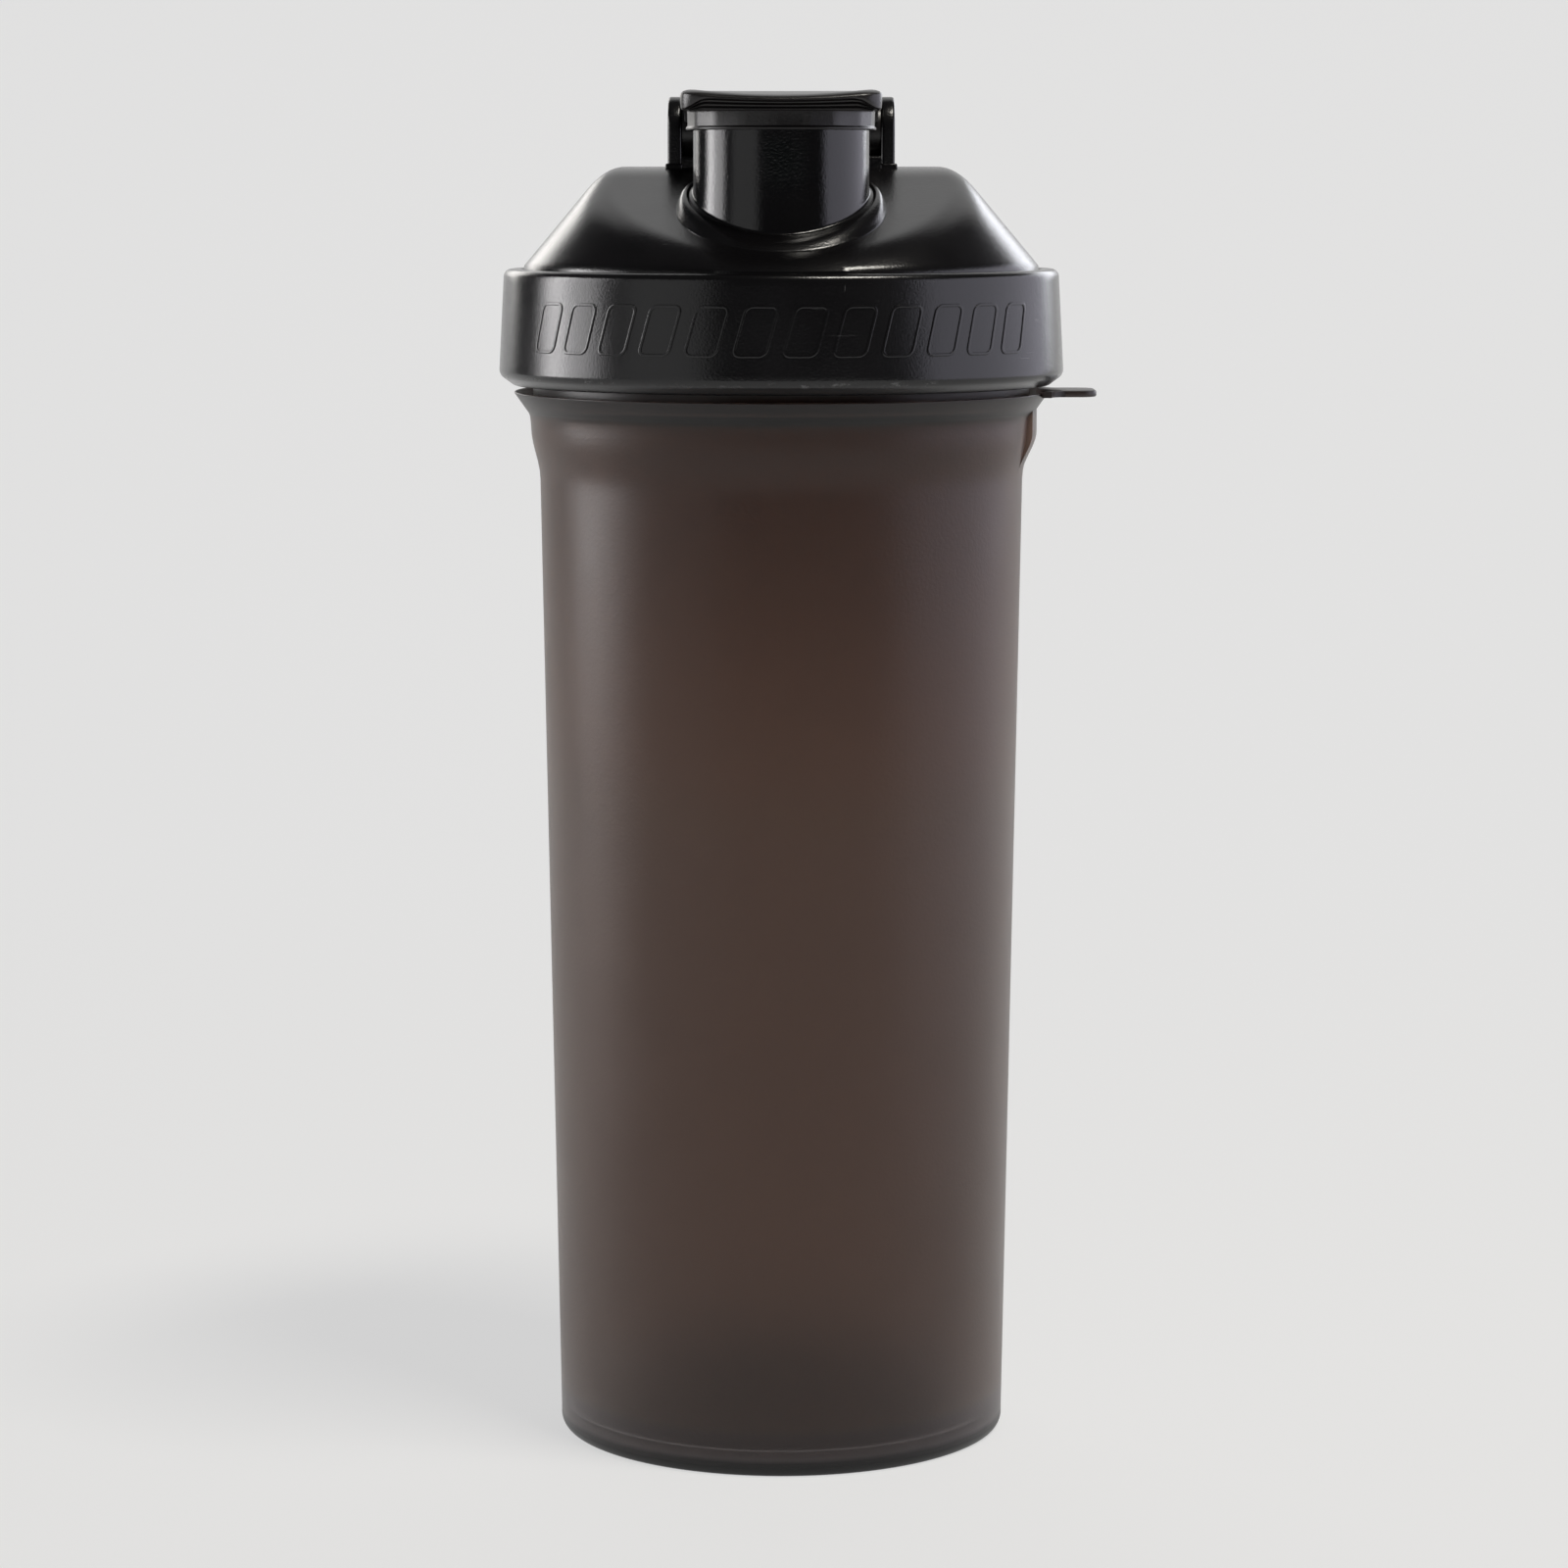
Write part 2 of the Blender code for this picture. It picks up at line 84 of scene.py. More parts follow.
# %% [markdown]
# ## Helpers that stand in for the workshop
# Most mouldings here are round, so the first tool is a lathe. It draws half a section as a wire, rounds
# its corners with a vertex bevel, cuts long stretches into short ones so that the shading stays true,
# and spins the wire a full turn.

# %% The lathe
ROUND_STEPS = 192
FINE = 1.6


def cut_long_edges(bm, step):
    """Subdivide every edge that is longer than a step."""
    for edge in list(bm.edges):
        cuts = int(edge.calc_length() / step)
        if cuts:
            bmesh.ops.subdivide_edges(bm, edges=[edge], cuts=cuts)


def section(points, closed=True, step=FINE):
    """A wire through (radius, height, corner radius) points, with its corners rounded."""
    bm = bmesh.new()
    verts = [bm.verts.new((radius, 0, height)) for radius, height, _ in points]
    for pair in zip(verts, verts[1:]):
        bm.edges.new(pair)
    if closed:
        bm.edges.new((verts[-1], verts[0]))
    for vert, (_, _, corner) in zip(verts, points):
        if corner:
            bmesh.ops.bevel(bm, geom=[vert], offset=corner, offset_type="OFFSET", segments=5,
                            profile=0.5, affect="VERTICES", material=-1)
    cut_long_edges(bm, step)
    return bm


def spin(bm, steps=ROUND_STEPS, centre_y=0.0):
    """Spin everything in a bmesh a full turn about the upright axis, and close it."""
    bmesh.ops.spin(bm, geom=bm.verts[:] + bm.edges[:], cent=(0, 0, 0), axis=(0, 0, 1),
                   angle=math.tau, steps=steps, use_merge=True)
    bmesh.ops.remove_doubles(bm, verts=bm.verts, dist=0.0005)
    bmesh.ops.recalc_face_normals(bm, faces=bm.faces)
    bmesh.ops.translate(bm, vec=(0, centre_y, 0), verts=bm.verts)
    return bm


# %% [markdown]
# A mould joins simple bodies and cuts cores out of them. A Boolean does the same. It is applied at once,
# so each finished piece is one clean mesh with nothing hanging on it.

# %% Joining and cutting
def loose_object(name, bm):
    """A bare object that holds a bmesh, in millimetres."""
    mesh = bpy.data.meshes.new(name)
    bmesh.ops.triangulate(bm, faces=[face for face in bm.faces if len(face.verts) > 4])
    bm.to_mesh(mesh)
    bm.free()
    item = bpy.data.objects.new(name, mesh)
    bpy.context.scene.collection.objects.link(item)
    return item


def combined(first, second, operation):
    """Join two closed solids or cut the second out of the first. Both are used up."""
    target, tool = loose_object("target", first), loose_object("tool", second)
    modifier = target.modifiers.new("combine", "BOOLEAN")
    modifier.operation, modifier.solver, modifier.object = operation, "EXACT", tool
    bpy.context.view_layer.update()
    result = bmesh.new()
    result.from_object(target, bpy.context.evaluated_depsgraph_get())
    for item in (target, tool):
        mesh = item.data
        bpy.data.objects.remove(item)
        bpy.data.meshes.remove(mesh)
    bmesh.ops.remove_doubles(result, verts=result.verts, dist=0.002)
    bmesh.ops.dissolve_degenerate(result, edges=result.edges, dist=0.002)
    return result


def rounded_box(low, high, corners=()):
    """A box between two corners; corners lists (axis, radius, segments, test) bevels of its edges."""
    bm = bmesh.new()
    bmesh.ops.create_cube(bm, size=1)
    middle = (Vector(low) + Vector(high)) / 2
    bmesh.ops.scale(bm, vec=Vector(high) - Vector(low), verts=bm.verts)
    bmesh.ops.translate(bm, vec=middle, verts=bm.verts)
    for axis, radius, segments, wanted in corners:
        found = []
        for edge in bm.edges:
            run = edge.verts[1].co - edge.verts[0].co
            along = all(abs(run[other]) < 0.01 for other in range(3) if other != axis)
            if along and wanted((edge.verts[0].co + edge.verts[1].co) / 2):
                found.append(edge)
        bmesh.ops.bevel(bm, geom=found, offset=radius, offset_type="OFFSET", segments=segments,
                        profile=0.5, affect="EDGES", material=-1)
    return bm


def soften(bm, radius, segments=3, least=0.5):
    """Round every edge that turns more than an angle, as a mould's small radii do."""
    sharp = [edge for edge in bm.edges if len(edge.link_faces) == 2 and edge.calc_face_angle() > least]
    bmesh.ops.bevel(bm, geom=sharp, offset=radius, offset_type="OFFSET", segments=segments,
                    profile=0.5, affect="EDGES", clamp_overlap=True, material=-1)
    return bm


# %% [markdown]
# The last helper puts a piece in place: it goes on the bottle's axis, in metres, smooth except where an
# edge is really sharp. It then rides on a body of the frame and stands for one of the frame's solids.

# %% Finish a piece
def finish_piece(name, bm, body, slot, material, *nodes, sharp=40):
    """Make the object, with its place in its mesh, and tie it to the frame."""
    bmesh.ops.scale(bm, vec=(MM, MM, MM), verts=bm.verts)
    bmesh.ops.translate(bm, vec=AXIS, verts=bm.verts)
    bmesh.ops.triangulate(bm, faces=[face for face in bm.faces if len(face.verts) > 4])
    mesh = bpy.data.meshes.new(name)
    bm.to_mesh(mesh)
    bm.free()
    mesh.shade_smooth()
    mesh.set_sharp_from_angle(angle=math.radians(sharp))
    mesh.materials.append(material)
    piece = bpy.data.objects.new(name, mesh)
    bpy.context.scene.collection.objects.link(piece)
    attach(piece, body)
    if nodes:
        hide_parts(*nodes)
    print(f"{name}: {len(mesh.polygons)} faces")
    return piece


# %% [markdown]
# ## Finishes
# All the plastics share a few effects: the fine pebbled skin that a spark-eroded mould leaves, hair-thin
# scuffs from use, and a wear line along an edge. Each is a node group with named inputs, so one effect
# serves several materials with different values.

# %% Small helpers for node trees
def add_node(tree, kind, **values):
    """Add a node; values set its properties, or its inputs when the name is an input's."""
    node = tree.nodes.new("ShaderNode" + kind)
    for name, value in values.items():
        label = name.replace("_", " ")
        if label in node.inputs:
            node.inputs[label].default_value = value
        else:
            setattr(node, name, value)
    return node


def calculate(tree, operation, first, second=0.0, clamp=False):
    """A Math node on two sockets or numbers."""
    node = add_node(tree, "Math", operation=operation, use_clamp=clamp)
    for socket, value in zip(node.inputs, (first, second)):
        if isinstance(value, (int, float)):
            socket.default_value = value
        else:
            tree.links.new(value, socket)
    return node.outputs[0]


def remap(tree, value, low, high, to_low=0.0, to_high=1.0):
    """A smooth Map Range from one span of values to another."""
    node = add_node(tree, "MapRange", interpolation_type="SMOOTHSTEP")
    for label, number in zip(("From Min", "From Max", "To Min", "To Max"), (low, high, to_low, to_high)):
        node.inputs[label].default_value = number
    tree.links.new(value, node.inputs["Value"])
    return node.outputs["Result"]


def new_group(name, inputs, outputs):
    """A node group with float outputs. An input with a value is a float, and one with None a vector."""
    tree = bpy.data.node_groups.new(name, "ShaderNodeTree")
    for label, value in inputs.items():
        kind = "NodeSocketVector" if value is None else "NodeSocketFloat"
        socket = tree.interface.new_socket(label, in_out="INPUT", socket_type=kind)
        if value is not None:
            socket.default_value = value
    for label in outputs:
        tree.interface.new_socket(label, in_out="OUTPUT", socket_type="NodeSocketFloat")
    return tree, tree.nodes.new("NodeGroupInput"), tree.nodes.new("NodeGroupOutput")


def noise(tree, position, scale, detail=2.0, stretch=None, roughness=0.5):
    """A Noise Texture read at a position, which can be stretched first."""
    texture = add_node(tree, "TexNoise", Detail=detail, Roughness=roughness)
    if stretch:
        mapping = add_node(tree, "Mapping", Scale=stretch)
        tree.links.new(position, mapping.inputs["Vector"])
        position = mapping.outputs["Vector"]
    tree.links.new(position, texture.inputs["Vector"])
    if isinstance(scale, (int, float)):
        texture.inputs["Scale"].default_value = scale
    else:
        tree.links.new(scale, texture.inputs["Scale"])
    return texture.outputs["Fac"]


# %% The mould's skin: pebbles of a size, over a slower waviness
skin, start, end = new_group("mould_skin", {"Position": None, "Grains per metre": 1500.0,
                                            "Waviness": 0.5}, ["Height", "Mottle"])
pebbles = noise(skin, start.outputs["Position"], start.outputs["Grains per metre"], 3.0)
waves = noise(skin, start.outputs["Position"], 170.0, 1.0)
slow = noise(skin, start.outputs["Position"], 38.0, 3.0)
weighted = calculate(skin, "MULTIPLY", waves, start.outputs["Waviness"])
skin.links.new(calculate(skin, "ADD", pebbles, weighted), end.inputs["Height"])
skin.links.new(slow, end.inputs["Mottle"])

# %% Scuffs: thin streaks that show only in patches
scuffs, start, end = new_group("scuffs", {"Position": None, "Amount": 0.5}, ["Mask"])
level_streaks = noise(scuffs, start.outputs["Position"], 60.0, 4.0, (1.0, 1.0, 26.0), 0.7)
slant_streaks = noise(scuffs, start.outputs["Position"], 75.0, 4.0, (14.0, 3.0, 2.0), 0.7)
patches = noise(scuffs, start.outputs["Position"], 45.0, 2.0)
streaks = calculate(scuffs, "MAXIMUM", remap(scuffs, level_streaks, 0.66, 0.74),
                    remap(scuffs, slant_streaks, 0.68, 0.76))
gated = calculate(scuffs, "MULTIPLY", streaks, remap(scuffs, patches, 0.48, 0.62))
scuffs.links.new(calculate(scuffs, "MULTIPLY", gated, start.outputs["Amount"]), end.inputs["Mask"])

# %% Wear along a level edge: nicks that gather at one height
worn, start, end = new_group("worn_edge", {"Position": None, "Edge height": 0.2, "Reach": 0.001,
                                           "Amount": 0.5}, ["Mask"])
split = add_node(worn, "SeparateXYZ")
worn.links.new(start.outputs["Position"], split.inputs[0])
away = calculate(worn, "ABSOLUTE", calculate(worn, "SUBTRACT", split.outputs["Z"],
                                             start.outputs["Edge height"]))
near = calculate(worn, "SUBTRACT", 1.0, calculate(worn, "DIVIDE", away, start.outputs["Reach"]), True)
nicks = remap(worn, noise(worn, start.outputs["Position"], 420.0, 4.0, (1.0, 1.0, 2.4), 0.7), 0.5, 0.68)
runs = remap(worn, noise(worn, start.outputs["Position"], 32.0, 1.0), 0.42, 0.6)
mask = calculate(worn, "MULTIPLY", calculate(worn, "MULTIPLY", near, nicks), runs)
worn.links.new(calculate(worn, "MULTIPLY", mask, start.outputs["Amount"]), end.inputs["Mask"])
print("finish effects:", [group.name for group in bpy.data.node_groups])


# %% [markdown]
# A plastic is then one function: a base colour that drifts slightly, a roughness that follows the same
# slow mottle, and a bump from the mould's skin. The skin is a bump because its pebbles are a few
# hundredths of a millimetre high. Where the plastic is scuffed or worn it is paler and rougher.

# %% One plastic
def place_group(tree, group, position, **values):
    """Put a node group in a material with its own values."""
    node = add_node(tree, "Group", node_tree=group)
    for label, value in values.items():
        node.inputs[label.replace("_", " ")].default_value = value
    tree.links.new(position, node.inputs["Position"])
    return node


def mix_colours(tree, mask, first, second):
    """Blend two colours, or a colour socket and a colour, by a mask."""
    node = add_node(tree, "Mix", data_type="RGBA")
    for socket, value in ((node.inputs[6], first), (node.inputs[7], second)):
        if isinstance(value, tuple):
            socket.default_value = (*value, 1.0)
        else:
            tree.links.new(value, socket)
    tree.links.new(mask, node.inputs["Factor"])
    return node.outputs[2]


def plastic(name, dark, light, rough, grains, depth, waviness=0.5, scuffing=0.4, edge=None):
    """A moulded plastic. rough is (least, most); depth is the skin's height in metres.

    edge is (height, reach, amount) of the wear along a level edge, in metres."""
    material = bpy.data.materials.new(name)
    material.use_nodes = True
    tree = material.node_tree
    shader = tree.nodes["Principled BSDF"]
    shader.inputs["IOR"].default_value = 1.49
    position = add_node(tree, "TexCoord").outputs["Object"]
    surface = place_group(tree, skin, position, Grains_per_metre=grains, Waviness=waviness)
    marks = place_group(tree, scuffs, position, Amount=scuffing).outputs["Mask"]
    if edge:
        wear = place_group(tree, worn, position, Edge_height=edge[0], Reach=edge[1], Amount=edge[2])
        marks = calculate(tree, "MAXIMUM", marks, wear.outputs["Mask"])
    mottle = remap(tree, surface.outputs["Mottle"], 0.35, 0.65)
    colour = mix_colours(tree, mottle, dark, light)
    worn_colour = tuple(0.16 + 0.5 * value for value in light)
    tree.links.new(mix_colours(tree, marks, colour, worn_colour), shader.inputs["Base Color"])
    base_rough = remap(tree, surface.outputs["Mottle"], 0.3, 0.7, rough[0], rough[1])
    scuffed = calculate(tree, "MULTIPLY", marks, 0.3)
    tree.links.new(calculate(tree, "ADD", base_rough, scuffed, True), shader.inputs["Roughness"])
    bump = add_node(tree, "Bump", Strength=1.0, Distance=depth)
    tree.links.new(surface.outputs["Height"], bump.inputs["Height"])
    tree.links.new(bump.outputs["Normal"], shader.inputs["Normal"])
    return material, tree, shader


# %% [markdown]
# The lid and the cap are black polypropylene. The grip band and dome have a finer, duller skin than the
# spout, which is polished where lips touch it. The cup is the same plastic with a smoke tint and no
# black in it: light goes in, is spread by the frosted skin, and comes out brown. Two ramps over the height
# multiply its tint. The first is painted light and shade: the wall is lighter low down and darker near
# the bottom edge and under the lid. The foot ring and the collar are thick, and the second ramp darkens
# the tint there: partly for the thicker plastic, partly painted shade under the bottle and under the lid.
# The seals are soft and matt.

# %% The materials
black_lid, lid_tree, lid_shader = plastic("black_lid", (0.0038, 0.0035, 0.004),
                                          (0.006, 0.0057, 0.0064), (0.17, 0.23), 2600.0, 0.000035,
                                          0.08, 0.5, (0.1998, 0.0006, 0.8))
black_cap, _, _ = plastic("black_cap", (0.0105, 0.009, 0.009), (0.0135, 0.0118, 0.012), (0.26, 0.34),
                          2200.0, 0.00003, 0.3, 0.6)
black_grid, _, _ = plastic("black_grid", (0.012, 0.012, 0.012), (0.017, 0.017, 0.017), (0.3, 0.42),
                           1300.0, 0.00003)
soft_black, _, _ = plastic("soft_black", (0.02, 0.02, 0.02), (0.028, 0.028, 0.028), (0.55, 0.7),
                           900.0, 0.00004, 0.3, 0.1)
smoke, smoke_tree, smoke_shader = plastic("smoke", (0.241, 0.174, 0.145), (0.256, 0.186, 0.155),
                                          (0.34, 0.40), 1500.0, 0.00003, 0.3, 0.15)
smoke_shader.inputs["Transmission Weight"].default_value = 1.0
smoke_shader.inputs["IOR"].default_value = 1.43


def paint_light_and_shade_by_height(tree, shader, stops, blend="B_SPLINE"):
    """Paint light and shade into the base colour: multiply it by a ramp over the height, given as (metres,
    colour) stops.
    """
    split = add_node(tree, "SeparateXYZ")
    tree.links.new(add_node(tree, "TexCoord").outputs["Object"], split.inputs[0])
    top = stops[-1][0]
    ramp = add_node(tree, "ValToRGB")
    tree.links.new(calculate(tree, "DIVIDE", split.outputs["Z"], top), ramp.inputs["Fac"])
    ramp.color_ramp.interpolation = blend
    marks = ramp.color_ramp.elements
    for number, (height, _) in enumerate(stops):
        mark = marks[number] if number < 2 else marks.new(height / top)
        mark.position = height / top
    for mark, (_, colour) in zip(marks, stops):
        mark.color = (*colour, 1)
    tint = add_node(tree, "Mix", data_type="RGBA", blend_type="MULTIPLY")
    tint.inputs["Factor"].default_value = 1.0
    tree.links.new(shader.inputs["Base Color"].links[0].from_socket, tint.inputs[6])
    tree.links.new(ramp.outputs["Color"], tint.inputs[7])
    tree.links.new(tint.outputs[2], shader.inputs["Base Color"])


# Painted light and shade: this ramp lifts the tint low on the wall and darkens it near the bottom edge and
# towards the top, under the lid.
paint_light_and_shade_by_height(smoke_tree, smoke_shader, [
    (0.0, (0.6, 0.66, 0.78)), (0.006, (0.6, 0.66, 0.78)), (0.009, (0.95, 1.03, 1.2)),
    (0.014, (1.6, 1.7, 1.95)), (0.02, (2.15, 2.2, 2.45)), (0.032, (2.25, 2.25, 2.5)),
    (0.045, (1.98, 1.96, 2.12)), (0.07, (1.5, 1.48, 1.54)), (0.105, (1.13, 1.1, 1.08)),
    (0.145, (0.92, 0.84, 0.78)), (0.18, (0.65, 0.535, 0.47)), (0.215, (0.6, 0.5, 0.46))])
# Painted shade: this ramp darkens the tint at the foot ring, under the bottle, and at the collar, under
# the lid; it also stands for the thicker plastic there.
FOOT_THICKNESS_AND_SHADE, CLEAR, COLLAR_THICKNESS_AND_SHADE = (0.01, 0.01, 0.01), (1.0, 1.0, 1.0), (0.22, 0.25, 0.3)
paint_light_and_shade_by_height(smoke_tree, smoke_shader, [
    (0.0, FOOT_THICKNESS_AND_SHADE), (0.0024, FOOT_THICKNESS_AND_SHADE), (0.0032, CLEAR),
    (0.1924, CLEAR), (0.1933, COLLAR_THICKNESS_AND_SHADE), (0.215, COLLAR_THICKNESS_AND_SHADE)], "LINEAR")
print("materials:", [material.name for material in bpy.data.materials])

# %% [markdown]
# The spout is polished, so its roughness drops. The place is found from the distance to the spout's own
# upright axis.

# %% Polish the spout
POLISH_CENTRE, POLISH_RADIUS, POLISH_EDGE = (AXIS.x, -0.022, 0), 0.016, 0.0002


def polish_within(tree, shader, centre, radius, rough):
    """Lower a material's roughness inside an upright cylinder."""
    position = add_node(tree, "TexCoord").outputs["Object"]
    level = add_node(tree, "VectorMath", operation="MULTIPLY")
    level.inputs[1].default_value = (1, 1, 0)
    tree.links.new(position, level.inputs[0])
    distance = add_node(tree, "VectorMath", operation="DISTANCE")
    distance.inputs[1].default_value = centre
    tree.links.new(level.outputs["Vector"], distance.inputs[0])
    inside = remap(tree, distance.outputs["Value"], radius + POLISH_EDGE, radius, 0.0, 1.0)
    before = shader.inputs["Roughness"].links[0].from_socket
    change = calculate(tree, "MULTIPLY", calculate(tree, "SUBTRACT", rough, before), inside)
    tree.links.new(calculate(tree, "ADD", before, change), shader.inputs["Roughness"])


polish_within(lid_tree, lid_shader, POLISH_CENTRE, POLISH_RADIUS, 0.12)

# %% [markdown]
# ## The cup
# The cup is one thin-walled injection moulding: a foot ring to stand on, a wall that tapers so that it
# leaves the mould, a shoulder, a flared collar with an open gutter, and a threaded neck. The wall is
# drawn as a straight wire, cut into short edges, and its points are moved out to the real radius, which
# gives the soft shoulder without any hand-placed points.

# %% Turn the cup
FOOT_RADIUS, FOOT_HIGH, TAPER, WALL = 42.1, 3.5, 0.0163, 1.5
SHOULDER_LOW, SHOULDER_HIGH, SHOULDER_RADIUS = 180.5, 190.0, 46.65
NECK_RADIUS, NECK_INSIDE = 46.2, 44.2
FLOOR, UNDERSIDE = 4.6, 3.0
COLLAR_RADIUS, COLLAR_RIM = 49.8, 196.6


def ease(value):
    """Smooth step from 0 to 1."""
    value = min(max(value, 0.0), 1.0)
    return value * value * (3 - 2 * value)


def outside_radius(height):
    """Tapered wall with a soft shoulder below the collar."""
    wall = FOOT_RADIUS + TAPER * (height - FOOT_HIGH)
    share = ease((height - SHOULDER_LOW) / (SHOULDER_HIGH - SHOULDER_LOW))
    return wall + (SHOULDER_RADIUS - wall) * share


def inside_radius(height):
    """The wall is even; it meets the straight neck above the shoulder."""
    wall = FOOT_RADIUS + TAPER * (height - FOOT_HIGH) - WALL
    share = ease((height - SHOULDER_LOW) / (SHOULDER_HIGH - SHOULDER_LOW + 3))
    return wall + (NECK_INSIDE - wall) * share


cup_points = [
    (0, UNDERSIDE, 0), (37.0, UNDERSIDE, 0.6), (37.4, 0, 0.5), (41.3, 0, 0.5), (42.1, 1.1, 0.7),
    (42.1, FOOT_HIGH, 0), (46.6, 190.0, 0), (46.9, 192.4, 0.5), (COLLAR_RADIUS, COLLAR_RIM - 0.1, 0.25),
    (49.3, COLLAR_RIM + 0.1, 0.25), (47.0, 194.4, 0.6), (NECK_RADIUS, 194.4, 0.4),
    (NECK_RADIUS, NECK_TOP, 0.8), (NECK_INSIDE, NECK_TOP, 0.6), (NECK_INSIDE, 193.0, 0),
    (40.6, 10.0, 0), (40.4, FLOOR, 0.3), (0, FLOOR, 0)]
cup = section(cup_points, closed=False)
for vert in cup.verts:
    radius, height = vert.co.x, vert.co.z
    if 3.4 < height < 190.1 and radius > FOOT_RADIUS - 0.1 and radius > inside_radius(height) + 0.7:
        vert.co.x = outside_radius(height)
    elif 9.9 < height < 193.1 and 40 < radius < 45:
        vert.co.x = inside_radius(height)
spin(cup)
print("cup turned:", len(cup.faces), "faces")

# %% [markdown]
# The thread has two starts, so half a turn frees the lid. A spin with a rise in every step sweeps a
# small face up the neck. Both ends are pulled back into the wall, as a cutter leaves them.

# %% Threads
LEAD, STARTS, THREAD_LOW = 16.0, 2, 200.6
ROOT_HALF, CREST_HALF, ROOT_SUNK = 1.3, 0.6, 0.5
SWEEP_STEPS = 108


def thread(root, crest, first_step, drop=0.0):
    """Helical ridges from a root radius to a crest radius, one for each start."""
    bm = bmesh.new()
    turn = math.tau / ROUND_STEPS
    outward = 1 if crest > root else -1
    for number in range(STARTS):
        steps = SWEEP_STEPS - first_step
        low = THREAD_LOW - drop + LEAD * first_step / ROUND_STEPS
        sunk = root - ROOT_SUNK * outward
        profile = ((sunk, -ROOT_HALF), (crest, -CREST_HALF), (crest, CREST_HALF), (sunk, ROOT_HALF))
        verts = [bm.verts.new((radius, 0, low + rise)) for radius, rise in profile]
        face = bm.faces.new(verts)
        start = first_step * turn + number * math.tau / STARTS
        bmesh.ops.rotate(bm, cent=(0, 0, 0), matrix=Matrix.Rotation(start, 3, "Z"), verts=verts)
        ridge = bmesh.ops.spin(bm, geom=verts + face.edges[:] + [face], cent=(0, 0, 0),
                               axis=(0, 0, 1), dvec=(0, 0, LEAD / ROUND_STEPS),
                               angle=steps * turn, steps=steps)
        tail = [item for item in ridge["geom_last"] if isinstance(item, bmesh.types.BMVert)]
        for vert in verts + tail:
            flat = Vector((vert.co.x, vert.co.y, 0))
            if abs(flat.length - crest) < 0.1:
                vert.co -= flat.normalized() * (crest - root) * 1.1
    bmesh.ops.recalc_face_normals(bm, faces=bm.faces)
    return bm


cup = combined(cup, thread(NECK_RADIUS, 48.0, 0), "UNION")
print("neck thread cut:", len(cup.faces), "faces")

# %% [markdown]
# A flat tab for a finger or a clip sticks out from the collar, with a pad below that stiffens it. The
# tab is a flat box whose outer upright corners are rounded, and a wider block with scooped corners
# merges it into the rim. The pad is a box on the wall, with its lower end drawn back in a slope.

# %% Tab and pad
TAB_Y, TAB_HALF, TAB_TOP, TAB_THICK = -3.3, 7.0, 197.0, 1.2
PAD_OUT, PAD_FOOT, PAD_BACK = 47.6, 45.0, 44.6
PAD_LOW, PAD_HIGH, PAD_SLOPE = 181.2, 193.8, 8.0


def collar_tab():
    """Flat tab with two rounded outer corners."""
    bm = rounded_box((COLLAR_RADIUS - 1.7, TAB_Y - TAB_HALF, TAB_TOP - TAB_THICK),
                     (TAB_REACH, TAB_Y + TAB_HALF, TAB_TOP),
                     [(2, 3.5, 8, lambda middle: middle.x > 50)])
    return soften(bm, 0.3, 2, 1.2)


def root_fillets():
    """A wide block whose outer corners are scooped away, so that the tab grows out of the rim."""
    reach, flare = 52.4, 4.0
    bm = rounded_box((COLLAR_RADIUS - 1.9, TAB_Y - TAB_HALF - flare, TAB_TOP - TAB_THICK + 0.05),
                     (reach, TAB_Y + TAB_HALF + flare, TAB_TOP - 0.05))
    for side in (-1, 1):
        scoop = bmesh.new()
        bmesh.ops.create_cone(scoop, cap_ends=True, segments=64, radius1=flare, radius2=flare, depth=6)
        bmesh.ops.translate(scoop, vec=(reach + 1.2, TAB_Y + side * (TAB_HALF + flare), TAB_TOP),
                            verts=scoop.verts)
        bm = combined(bm, scoop, "DIFFERENCE")
    return bm


def tab_pad():
    """A patch of thicker wall under the tab, which slopes back to the wall at its lower end."""
    bm = rounded_box((0, TAB_Y - 7.7, PAD_LOW), (1, TAB_Y + 7.6, PAD_HIGH))
    for axis, cuts in ((2, 16), (1, 8)):
        runs = [edge for edge in bm.edges
                if abs(edge.verts[0].co[axis] - edge.verts[1].co[axis]) > 1.0]
        bmesh.ops.subdivide_edges(bm, edges=runs, cuts=cuts, use_grid_fill=True)
    for vert in bm.verts:
        out = PAD_FOOT + (PAD_OUT - PAD_FOOT) * ease((vert.co.z - PAD_LOW) / PAD_SLOPE)
        radius = out if vert.co.x > 0.5 else PAD_BACK
        vert.co.x = math.sqrt(radius ** 2 - vert.co.y ** 2)
    return bm


cup = combined(cup, tab_pad(), "UNION")
cup = combined(cup, root_fillets(), "UNION")
cup = combined(cup, collar_tab(), "UNION")
finish_piece("shaker_cup", cup, "cup", "smoke_cup", smoke, "cup")

# %% [markdown]
# ## The lid
# The lid is a cap with a straight grip band, a conical dome, and a level top that slopes down towards
# the spout. The dome isn't round, so it can't be turned as it is. Its two sheets are turned flat, one
# above the other, and every point is then lowered to a height that a short function gives: the lower of
# a cone and a folded plane, with the fold and the edge eased.

# %% Turn the lid and lower its dome
LID_INSIDE, CHANNEL_TOP = 49.4, 215.5
FIN_OUTSIDE, FIN_INSIDE, FIN_BOTTOM = 43.7, 42.2, 206.0
BAND_TOP, PLATEAU = 219.2, 238.0
DOME_FOOT = 47.7
CONE_RADIUS, CONE_HEIGHT, CONE_FALL, FRONT_FALL = 37.3, 232.2, 1.19, 0.35
OUTER_MARK, INNER_MARK = 300.0, 280.0


def lower_of(first, second, width):
    """The lower of two heights, eased where they cross."""
    near = max(width - abs(first - second), 0.0)
    return min(first, second) - near * near / (4 * width)


